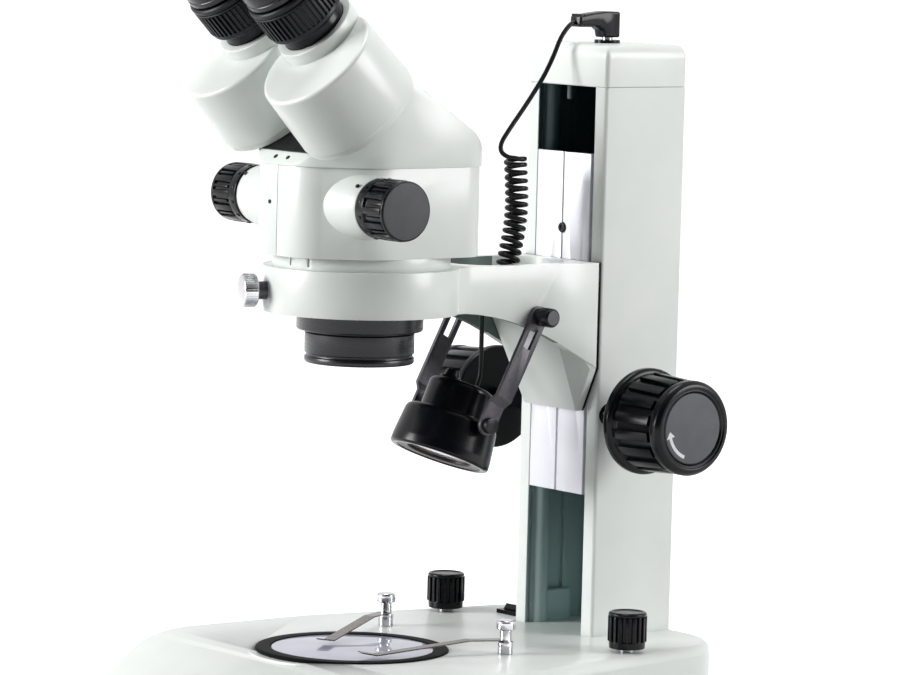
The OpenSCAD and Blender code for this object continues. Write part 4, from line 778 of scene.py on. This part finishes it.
def makeBush(side, look):
    sign = 1 if side == "right" else -1
    pivot = joints["focus_knobs"]["pos_m"]
    half = columnBox[1].x
    low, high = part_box("focus_knob_" + side)
    end = (low.x if sign > 0 else -high.x) / mm - 0.3
    bore, bush, sleeve = (look[key] for key in ("bore", "bush", "sleeve"))
    inner = half - look["wall"] - 1
    profile = soften([(bore, inner), (bush, inner), (bush, half), (sleeve, half + 0.05), (sleeve, end),
                      (bore, end)], 0.3)
    place = axisPlace((0, pivot[1], pivot[2]), (sign, 0, 0))
    addPiece("pinionBush" + side.title(), turned(profile, place, 48, True), "mouldedAbs", "base",
             ["pinion_bushes"] if sign > 0 else ())


for side in ("right", "left"):
    makeBush(side, bushSizes)
print("focus knobs turned")

zoomKnob = {"radius": 14.5, "root": 13.1, "length": 22, "bars": 12}


def makeZoomKnob(side, look):
    node = "zoom_knob_" + side
    low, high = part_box(node)
    pivot = joints["zoom_turn"]["pos_m"]
    sign = 1 if side == "right" else -1
    place = axisPlace((low.x if sign > 0 else high.x, pivot[1], pivot[2]), (sign, 0, 0))
    r, end = look["radius"], look["length"]
    root, bars = look["root"], look["bars"]
    profile = soften([(4.2, 0.2), (r - 0.8, 0), (r, 0.9), (r, 6.2), (root + 0.2, 6.6), (root, 7),
                      (root, end - 2.4), (r - 0.1, end - 2.2), (r - 0.1, end - 0.8),
                      (r - 0.5, end - 0.3), (r - 0.9, end - 0.6), (4, end - 0.7)], 0.3)
    addPiece("zoomKnob" + side.title(), turned(profile, place, 96), "mouldedAbs", "zoom", [node])
    # tall bars, low fins between them, and nubs on the foot
    ringOf("zoomBars" + side.title(), barPart(3.6, r - root + 0.1, 6.4, end - 2.2, 0.3), bars, root,
           place, "mouldedAbs", "zoom")
    ringOf("zoomFins" + side.title(), barPart(1.5, r - root - 0.3, 8.4, end - 2.2, 0.25), bars, root,
           place, "mouldedAbs", "zoom", start=math.pi / bars)
    ringOf("zoomNubs" + side.title(), barPart(1.6, 0.45, 2.4, 4.4, 0.25), bars, r, place, "mouldedAbs",
           "zoom", start=math.pi / bars)
    disc = soften([(0, end - 0.15), (r - 1.1, end - 0.15), (r - 0.7, end - 0.5), (r - 0.8, end - 1),
                   (0, end - 1)], 0.2)
    addPiece("zoomDisc" + side.title(), turned(disc, place, 72), "darkDisc", "zoom")


for side in ("right", "left"):
    makeZoomKnob(side, zoomKnob)
print("zoom knobs turned")

prism = {"radius": 31.2, "draft": 1.2, "length": 38, "foot": 3, "edge": 2, "bush": 9.85, "boss": 20.5,
         "bossTop": 6.5, "seat": 16.54, "screws": {"right": [(-33, 27)], "left": [(-33.5, 283)]}}
eyeSizes = {"tube": 15, "neck": 16.5, "neckTop": 12.5, "ring": 20.5, "ringLength": 20.5, "body": 26,
            "ribs": 48}


def makePrismHousing(side, look):
    label, arm = side.title(), "eyetube_assembly_" + side
    spread, eye = joints["eye_spread_" + side], joints["dioptre_turn_" + side]
    place, bossPlace = (axisPlace(joint["pos_m"], joint["axis"]) for joint in (spread, eye))
    r, l, edge, foot = look["radius"], look["length"], look["edge"], look["foot"]
    top = r - look["draft"]
    bush = look["bush"]
    sides = [(top, -edge), (r, foot + 0.3 - l), (r - 0.7, foot - 0.1 - l), (r - 0.7, -l), (bush, -l),
             (bush, -l - 3.4), (7, -l - 3.4), (7, 3 - l), (r - 8, 3 - l), (r - 8, -3), (0, -3)]
    shell = [(0, 0)] + arcPoints(top - edge, -edge, edge, 90, 0, 6) + soften(sides, 0.25, 2)[1:]
    addPiece("prismShell" + label, turned(shell, place, 160), "bakedEnamel", arm,
             ["prism_housing_" + side])
    b, h, seat = look["boss"], look["bossTop"], look["seat"]
    boss = soften([(seat, -1), (seat, h), (b - 0.1, h), (b, h - 1), (b, -1), (12, -16), (8, -16)], 0.5)
    addPiece("prismBoss" + label, turned(boss, bossPlace, 128, True), "bakedEnamel", arm)
    for height, angle in look["screws"][side]:
        turn = Matrix.Rotation(math.radians(angle), 4, "Z")
        spot = place @ turn @ Matrix.Translation((top * mm + 0.35 * mm, 0, height * mm))
        screw = [(0, 0.15), (0.5, 0.15), (0.6, 0.55), (1.3, 0.5), (1.5, 0), (1.5, -1.5), (0, -1.5)]
        addPiece("prismScrew" + label, turned(screw, spot @ Matrix.Rotation(math.pi / 2, 4, "Y"), 24),
                 "turnedSteel", arm)


def makeEye(side, look):
    label, arm = side.title(), "eyetube_assembly_" + side
    pivot = joints["dioptre_turn_" + side]
    place = axisPlace(pivot["pos_m"], pivot["axis"])
    tube, neck, ringR, neckTop = look["tube"], look["neck"], look["ring"], look["neckTop"]
    top = neckTop + look["ringLength"]
    collar = soften([(tube, 1.05), (neck, 1.05), (neck, neckTop - 1.2), (neck - 0.45, neckTop - 0.5),
                     (neck - 0.5, top), (tube, top)], 0.4)
    addPiece("eyeCollar" + label, turned(collar, place, 96, True), "mouldedAbs", arm,
             ["eyetube_" + side])
    z0, l, inner = neckTop + 0.3, look["ringLength"] - 0.5, neck - 0.45
    ring = soften([(inner, z0), (ringR - 1.4, z0), (ringR - 0.6, z0 + 0.8), (ringR - 0.6, z0 + 2.8),
                   (ringR - 1.1, z0 + 3.2), (ringR - 1.1, z0 + l - 4.6), (ringR - 0.1, z0 + l - 4.2),
                   (ringR, z0 + l - 3.4), (ringR - 0.9, z0 + l - 3.1), (ringR - 0.9, z0 + l - 2.5),
                   (ringR, z0 + l - 2.2), (ringR, z0 + l - 0.9), (ringR - 0.9, z0 + l),
                   (inner, z0 + l)], 0.35)
    addPiece("dioptreRing" + label, turned(ring, place, 120, True), "mouldedRubber", "dioptre_" + side,
             ["dioptre_ring_" + side])
    ringOf("dioptreRibs" + label, barPart(1.3, 1.1, z0 + 2.9, z0 + l - 4.4, 0.25), look["ribs"],
           ringR - 1.1, place, "mouldedRubber", "dioptre_" + side)
    e0 = top + 0.3
    body = look["body"]
    barrel = soften([(tube - 2.5, e0 - 18), (tube - 0.02, e0 - 18), (tube - 0.02, e0), (ringR - 2, e0),
                     (ringR - 1.2, e0 + 0.8), (ringR - 1.2, e0 + 3), (ringR - 1.8, e0 + 3.4),
                     (ringR - 1.8, e0 + 4.2), (ringR - 1.2, e0 + 4.6), (ringR - 1.2, e0 + 12),
                     (ringR - 2.2, e0 + 13), (ringR - 2.2, e0 + body - 9), (ringR - 4.5, e0 + body - 7),
                     (ringR - 4.5, e0 + body), (12, e0 + body), (12, e0 + 6), (tube - 2.5, e0 + 4)],
                     0.4)
    addPiece("eyeBarrel" + label, turned(barrel, place, 96, True), "blackAnodising", arm,
             ["eyepiece_" + side])
    cupZ = e0 + body
    cup = soften([(ringR - 4.48, cupZ - 6.6), (ringR - 2.6, cupZ - 6.6), (ringR - 1.6, cupZ - 4),
                  (ringR - 1.8, cupZ + 2), (ringR, cupZ + 8), (ringR - 0.6, cupZ + 9),
                  (ringR - 2, cupZ + 8.6), (ringR - 4.2, cupZ + 2.4), (12.6, cupZ + 2), (12.6, cupZ),
                  (ringR - 4.48, cupZ)], 0.6)
    addPiece("eyeCup" + label, turned(cup, place, 96, True), "mouldedRubber", arm, ["eyecup_" + side])
    lens = soften([(0, cupZ - 6), (11.9, cupZ - 6), (11.9, cupZ - 4.2)], 0.2) + [
        Vector((11.9 * i / 6, cupZ - 2.6 - (11.9 * i / 6) ** 2 / 90)) for i in range(5, -1, -1)]
    addPiece("eyeLens" + label, turned(lens, place, 64), "coatedGlass", arm, ["eye_lens_" + side])


for side in ("right", "left"):
    makePrismHousing(side, prism)
    makeEye(side, eyeSizes)
print("eyepieces assembled")

lensLow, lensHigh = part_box("objective_barrel")
opticalAxis = Vector(((lensLow.x + lensHigh.x) / 2, (lensLow.y + lensHigh.y) / 2, lensLow.z))
objective = {"thread": 24, "barrel": 26.8, "ring": 31, "step": 16, "stack": 53.7}


def makeObjective(look):
    place = Matrix.Translation(opticalAxis)
    t, b, r, step = look["thread"], look["barrel"], look["ring"], look["step"]
    profile = [(t, 0), (b - 0.8, 0), (b, 0.8), (b, 3), (b - 0.8, 3.4), (b - 0.8, 4.6), (b, 5),
               (b, step - 1.4), (b - 1.4, step - 1), (b - 1.4, step), (r - 0.8, step), (r, step + 0.8),
               (r, look["stack"]), (t + 2, look["stack"]), (t + 2, 20), (t - 3, 20), (t - 3, 9)]
    profile += [(t - (0.45 if i % 2 else 0), 8.2 - 0.75 * i / 2) for i in range(21)]
    addPiece("objectiveBarrel", turned(soften(profile, 0.15, 1), place, 128, True), "blackAnodising",
             "head", ["objective_barrel"])
    across = [(t - 3.05) * i / 6 for i in range(5, -1, -1)]
    glass = [(0, 18), (t - 3.05, 18), (t - 3.05, 10)]
    glass += [(x, 10 - 1.6 * (1 - (x / (t - 3)) ** 2)) for x in across]
    addPiece("frontLens", turned(glass, place, 96), "coatedGlass", "head", ["objective_lens"])


makeObjective(objective)
print("objective turned")


# a small knurled knob whose foot stands at pivot; face, if given, is the finish of its end disc
def thumbKnob(name, node, body, pivot, axis, look):
    place = axisPlace(pivot, axis)
    radius, height, knurls, material = (look[key] for key in ("radius", "height", "knurls", "material"))
    profile = soften([(1, 0), (radius - 0.9, 0), (radius - 0.25, 0.6), (radius - 0.25, height - 0.6),
                      (radius - 0.9, height), (0, height)], 0.3)
    addPiece(name, turned(profile, place, 72), material, body, [node])
    ringOf(name + "Knurl", barPart(radius * math.pi / knurls * 1.1, 0.25, 0.9, height - 0.9, 0.12),
           knurls, radius - 0.25, place, material, body)
    if "face" in look:
        disc = [(0, height + 0.05), (radius - 1.2, height + 0.05), (radius - 1.1, height - 0.2),
                (0, height - 0.2)]
        addPiece(name + "Face", turned(disc, place, 48), look["face"], body)


# the middle of a node's outer end, on the right for sign 1
def farEnd(node, sign):
    low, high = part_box(node)
    return Vector((high.x if sign > 0 else low.x, (low.y + high.y) / 2, (low.z + high.z) / 2))


bracketKnob = {"radius": 4.7, "height": 10, "knurls": 30, "material": "mouldedAbs", "face": "satinDisc"}
for side, sign in (("right", 1), ("left", -1)):
    node = "bracket_screw_" + side
    end = farEnd(node, sign)
    end.x -= sign * bracketKnob["height"] * mm
    thumbKnob("bracketKnob" + side.title(), node, node, end, (sign, 0, 0), bracketKnob)

clampKnob = {"radius": 8.2, "height": 7.4, "knurls": 40, "material": "nickelPlate", "out": 4.8,
             "neck": 4.4}
clampJoint = joints["head_clamp_turn"]
clampAxis = Vector(clampJoint["axis"])
clampSpot = Vector(clampJoint["pos_m"]) + clampKnob["out"] * mm * clampAxis
thumbKnob("clampKnob", "head_clamp_knob", "head_clamp", clampSpot, clampAxis, clampKnob)
neckProfile = [(0, -6), (clampKnob["neck"], -6), (clampKnob["neck"], 0.2), (0, 0.2)]
addPiece("clampNeck", turned(neckProfile, axisPlace(clampSpot, clampAxis), 40), "blackZinc",
         "head_clamp")

dimmer = {"radius": 9.75, "height": 20, "ribs": 18}


def makeDimmer(side, look):
    node = "dimmer_knob_" + side
    low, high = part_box(node)
    place = Matrix.Translation(((low.x + high.x) / 2, (low.y + high.y) / 2, low.z - 1.8 * mm))
    r, h = look["radius"], look["height"]
    profile = soften([(3.1, 1.8), (r - 0.9, 1.8), (r - 0.7, 5.2), (r - 1, 5.6), (r - 1, h - 2.6),
                      (r - 0.3, h - 2), (r - 0.3, h - 0.8), (r - 1.2, h), (r - 2, h - 0.1),
                      (r - 2.6, h - 0.6), (0, h - 0.6)], 0.4)
    addPiece("dimmerKnob" + side.title(), turned(profile, place, 72), "mouldedAbs", "dimmer_" + side,
             [node])
    ringOf("dimmerRibs" + side.title(), barPart(1.9, 1, 5.4, h - 2.2, 0.3), look["ribs"], r - 1, place,
           "mouldedAbs", "dimmer_" + side)


for side in ("right", "left"):
    makeDimmer(side, dimmer)
print("small knobs turned")

lampSizes = {"radius": 25.5, "pivot": 20, "tilt": 22, "upper": 17, "step": 22, "top": 38,
             "leadOut": 8.5, "leadTop": 43}


def makeLamp(look):
    tilt = math.radians(look["tilt"])
    place = axisPlace(joints["lamp_tilt"]["pos_m"], (0, math.sin(tilt), math.cos(tilt)))
    place = place @ Matrix.Translation((0, 0, -look["pivot"] * mm))
    r = look["radius"]
    upper, step, top = look["upper"], look["step"], look["top"]
    rim = soften([(r - 4.1, 0.9), (r - 3.6, 0), (r - 1, 0), (r, 1), (r - 0.1, 5), (r - 1.7, step - 3)],
                 0.5)
    neck = soften([(upper + 0.9, step), (upper, step + 0.5), (upper - 0.4, top - 3)], 0.4, 2)
    inside = [(0.5, top), (0.5, top - 4), (upper - 3, top - 5), (upper - 3, step - 2),
              (r - 6, step - 4),
              (r - 4.1, 14)]
    shell = rim + arcPoints(r - 5, step - 3.2, 3.2, 0, 80) + neck
    shell += arcPoints(upper - 3.2, top - 2.8, 2.8, 0, 90, 4) + inside
    addPiece("lampShell", turned(shell, place, 128, True), "mouldedAbs", "lamp", ["lamp_housing"])
    bezel = soften([(r - 9, 1.4), (r - 8.6, 0.9), (r - 4.1, 0.5), (r - 4.1, 3), (r - 9, 3)], 0.3)
    addPiece("lampBezel", turned(bezel, place, 96, True), "bronzedRing", "lamp")
    cup = [(r - 8, 3.1), (r - 9, 6), (r - 12, 10), (r - 17, 13.4), (5, 14.6), (5, 15.4), (r - 16, 14.4),
           (r - 11.4, 11), (r - 8, 6.4), (r - 7, 3.1)]
    addPiece("lampReflector", turned(cup, place, 72, True), "aluminisedCup", "lamp")
    bulb = [(0, 5.4), (2.4, 6), (3.6, 7.6), (4, 10), (4, 16), (0, 16)]
    addPiece("lampBulb", turned(bulb, place, 40), "pressedGlass", "lamp")
    gland = soften([(1.3, top - 2), (5.4, top - 2), (5.4, top + 1.2), (4.2, top + 1.6),
                    (3.2, look["leadTop"]), (1.3, look["leadTop"])], 0.4)
    leadPlace = place @ Matrix.Translation((0, look["leadOut"] * mm, 0))
    addPiece("lampGland", turned(gland, leadPlace, 40, True), "mouldedAbs", "lamp")
    cover = [(0, 2.2), (r - 8.9, 2.2), (r - 8.9, 2.95), (0, 2.95)]
    addPiece("lampCover", turned(cover, place, 72), "pressedGlass", "lamp", ["lamp_lens"])


makeLamp(lampSizes)
castCopy("lampYoke", "lamp_bracket", "lamp_bracket", "blackZinc", 0.2)
castCopy("lampPivots", "lamp_pivots", "lamp", "blackenedSteel", 0.3)
print("lamp assembled")

stageMiddle = Vector((opticalAxis.x, opticalAxis.y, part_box("column")[0].z))
stage = {"ring": 47.5, "glass": 40, "ledge": 37, "depth": 5, "thick": 3, "proud": 0.8}


def makeStage(look):
    place = Matrix.Translation(stageMiddle)
    r, g, ledge, thick, proud = (look[key] for key in ("ring", "glass", "ledge", "thick", "proud"))
    seat = g + 0.05
    ring = soften([(ledge, -look["depth"]), (r, -look["depth"]), (r, 0.3), (r - 0.6, proud),
                   (g + 0.6, proud), (seat, 0.3), (seat, -thick), (ledge, -thick)], 0.25)
    addPiece("stageRing", turned(ring, place, 160, True), "mattBlackPaint", "base", ["stage_ring"])
    glass = soften([(0, -thick), (g, -thick), (g, 0), (g - 0.4, 0.4), (0, 0.4)], 0.2)
    addPiece("stageGlass", turned(glass, place, 128), "groundGlass", "base", ["stage_glass"])


makeStage(stage)

clip = {"post": 3.8, "step": 6, "neck": 2.9, "neckTop": 12.2, "head": 4.75, "top": 16.6, "width": 6,
        "sheet": 0.6, "line": ((2, 6.6), (20, 7), (68, 1.6), (76, 3.2))}


# post and leaf spring; the spring points the way that the CAD clip does, and line is its lower side
def makeClip(side, look):
    node = "stage_clip_" + side
    pivot = Vector(joints["clip_turn_" + side]["pos_m"])
    spots = [nodes[node].matrix_world @ v.co for v in nodes[node].data.vertices]
    reach = max((p.xy - pivot.xy).length for p in spots)
    tip = [p.xy - pivot.xy for p in spots if (p.xy - pivot.xy).length > 0.96 * reach]
    along = sum(tip, Vector((0, 0))).normalized()
    place = Matrix.Translation((pivot.x, pivot.y, stageMiddle.z))
    post, neck, head, top = look["post"], look["neck"], look["head"], look["top"]
    profile = soften([(0.5, 0.05), (post, 0.05), (post, look["step"]), (neck, look["step"] + 0.4),
                      (neck, look["neckTop"] - 0.4), (head, look["neckTop"]), (head, top - 0.9),
                      (head - 0.7, top), (0, top)], 0.35)
    addPiece("clipPost" + side.title(), turned(profile, place, 64), "nickelPlate", node, [node])
    upper = [(x, z + look["sheet"], 0.2) for x, z in look["line"]]
    lower = [(x, z, 0.2) for x, z in reversed(look["line"])]
    half = look["width"] / 2
    blade = lofted([(outlinePoints(lower + upper), -half), (outlinePoints(lower + upper), half)])
    blade.transform(Matrix(((along.x, 0, -along.y, pivot.x), (along.y, 0, along.x, pivot.y),
                            (0, 1, 0, stageMiddle.z), (0, 0, 0, 1))))
    addPiece("clipBlade" + side.title(), blade, "springSteel", node)


for side in ("right", "left"):
    makeClip(side, clip)
print("stage fitted")

plug = {"width": 8.6, "rings": (-19.6, -17.2, -14.8, -12.4), "pin": 2.7,
        "outline": ((5, 1.3, 0.8), (5, 14.2, 1), (-4, 14.4, 2), (-13, 13.4, 2), (-21, 11.9, 0.6),
                    (-21.4, 7.2, 0.6), (-13, 7, 2), (-8.6, 6.6, 2), (-5.6, 4.6, 1.5), (-4.8, 1.3, 0.8))}


def makePlug(look):
    low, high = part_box("lamp_socket")
    middle = Vector(((low.x + high.x) / 2, (low.y + high.y) / 2, high.z))
    half = look["width"] / 2
    place = Matrix(((0, 0, 1, middle.x), (1, 0, 0, middle.y), (0, 1, 0, middle.z), (0, 0, 0, 1)))
    rings = [(outlinePoints(look["outline"], inset), x) for x, inset in
             ((-half, 1), (-half + 0.3, 0.4), (-half + 1, 0), (half - 1, 0), (half - 0.3, 0.4),
              (half, 1))]
    data = lofted(rings)
    data.transform(place)
    addPiece("plugBody", data, "mouldedAbs", "base", ["lamp_plug"])
    for y in look["rings"]:
        band = outlinePoints([(y + 0.6, 13.1, 0.3), (y - 0.6, 12.9, 0.3), (y - 0.6, 6.6, 0.3),
                              (y + 0.6, 6.4, 0.3)])
        ridge = lofted([(band, -half + 0.3), (band, half - 0.3)])
        ridge.transform(place)
        addPiece("plugRidge", ridge, "mouldedAbs", "base")
    pin = turned([(0, -2), (look["pin"], -2), (look["pin"], 3), (0, 3)], Matrix.Translation(middle), 32)
    addPiece("plugPin", pin, "turnedSteel", "base")


makePlug(plug)
plainParts = {"bottom_plate": "zincSheet", "rubber_feet": "mouldedRubber", "base_screws": "turnedSteel",
              "led_board": "solderMask", "power_inlet": "mouldedAbs", "dimmer_pots": "turnedSteel",
              "switch_frame": "mouldedAbs", "power_rocker": "mouldedAbs", "lamp_socket": "mouldedAbs",
              "pinion_shaft": "turnedSteel", "focus_rack": "cutBrass",
              "arm_screws": "blackenedSteel", "linkage_plate": "blackenedSteel",
              "zoom_shaft": "turnedSteel", "head_screws": "blackenedSteel"}
for node, key in plainParts.items():
    nodes[node].data.materials.clear()
    nodes[node].data.materials.append(finish[key])

room = {"world": 0.14, "studioDark": 0.05, "darkSide": (0.79, -0.61, 0.05), "floor": "#F2F2F2",
        "bounce": "#9A9C9B", "glow": 0.32, "floorSize": 40, "aim": (0, 0, 0.2)}
softLamps = {"leftLight": {"power": 46, "size": 1.0, "spot": (-0.95, -1.8, 0.75)},
             "rightLight": {"power": 27, "size": 1.0, "spot": (1.5, 1.25, 0.8)},
             "topLight": {"power": 16, "size": 0.9, "spot": (-0.1, 0.1, 1.9)}}


# a round area light that points at aim
def softLamp(name, look, aim):
    data = bpy.data.lights.new(name, "AREA")
    data.energy, data.shape, data.size = look["power"], "DISK", look["size"]
    lamp = bpy.data.objects.new(name, data)
    turn = (Vector(aim) - Vector(look["spot"])).to_track_quat("-Z", "Y").to_matrix().to_4x4()
    lamp.matrix_world = Matrix.Translation(look["spot"]) @ turn
    bpy.context.scene.collection.objects.link(lamp)


# 1 for a ray of any of these kinds
def anyRay(tree, kinds):
    path = addNode(tree, "ShaderNodeLightPath")
    last = path.outputs[kinds[0]]
    for kind in kinds[1:]:
        last = addNode(tree, "ShaderNodeMath", {"operation": "MAXIMUM"},
                       {0: last, 1: path.outputs[kind]}).outputs[0]
    return last


# white behind the object; mirrors and glass see a white studio that is dark on one side
def makeWorld(look):
    world = bpy.data.worlds.new("studio")
    world.use_nodes = True
    bpy.context.scene.world = world
    tree = world.node_tree
    tree.nodes.clear()
    coords = addNode(tree, "ShaderNodeTexCoord").outputs["Generated"]
    facing = addNode(tree, "ShaderNodeVectorMath", {"operation": "DOT_PRODUCT", 1: look["darkSide"]},
                     {0: coords})
    shade = addNode(tree, "ShaderNodeMapRange",
                    {"From Min": 0.1, "From Max": 0.85, "To Min": 1.0, "To Max": look["studioDark"]},
                    {"Value": facing.outputs["Value"]})
    plain = addNode(tree, "ShaderNodeBackground", {"Color": (1, 1, 1, 1), "Strength": look["world"]})
    studio = addNode(tree, "ShaderNodeBackground", {"Color": (1, 1, 1, 1)},
                     {"Strength": shade.outputs["Result"]})
    white = addNode(tree, "ShaderNodeBackground", {"Color": (1, 1, 1, 1), "Strength": 1.0})
    mirrored = anyRay(tree, ("Is Glossy Ray", "Is Transmission Ray"))
    first = addNode(tree, "ShaderNodeMixShader", None,
                    {0: mirrored, 1: plain.outputs[0], 2: studio.outputs[0]})
    direct = anyRay(tree, ("Is Camera Ray",))
    seen = addNode(tree, "ShaderNodeMixShader", None,
                   {0: direct, 1: first.outputs[0], 2: white.outputs[0]})
    addNode(tree, "ShaderNodeOutputWorld", None, {"Surface": seen.outputs[0]})


# the floor fades to plain white away from the object, and keeps the shadow near it
def makeFloor(look):
    bpy.ops.mesh.primitive_plane_add(size=look["floorSize"], location=(0, 0, -0.0004))
    floor = bpy.context.object
    floor.name = "floor"
    paper, tree = newFinish("backdropPaper")
    coords = addNode(tree, "ShaderNodeTexCoord").outputs["Object"]
    distance = addNode(tree, "ShaderNodeVectorMath", {"operation": "LENGTH"}, {0: coords})
    glow = addNode(tree, "ShaderNodeMapRange",
                   {"From Min": 0.25, "From Max": 0.9, "To Min": look["glow"], "To Max": 1.0},
                   {"Value": distance.outputs["Value"]})
    diffuse = addNode(tree, "ShaderNodeBsdfDiffuse", {"Color": toLinear(look["floor"])})
    bounce = addNode(tree, "ShaderNodeBsdfDiffuse", {"Color": toLinear(look["bounce"])})
    lamp = addNode(tree, "ShaderNodeEmission", {"Color": (1, 1, 1, 1)},
                   {"Strength": glow.outputs["Result"]})
    lit = addNode(tree, "ShaderNodeAddShader", None, {0: diffuse.outputs[0], 1: lamp.outputs[0]})
    rays = anyRay(tree, ("Is Camera Ray", "Is Glossy Ray", "Is Transmission Ray"))
    seen = addNode(tree, "ShaderNodeMixShader", None,
                   {0: rays, 1: bounce.outputs[0], 2: lit.outputs[0]})
    addNode(tree, "ShaderNodeOutputMaterial", None, {"Surface": seen.outputs[0]})
    floor.data.materials.append(paper)


def makeRoom(look):
    for name, light in softLamps.items():
        softLamp(name, light, look["aim"])
    makeWorld(look)
    makeFloor(look)


makeRoom(room)
bpy.context.scene.view_settings.view_transform = "Standard"
print("room lit")
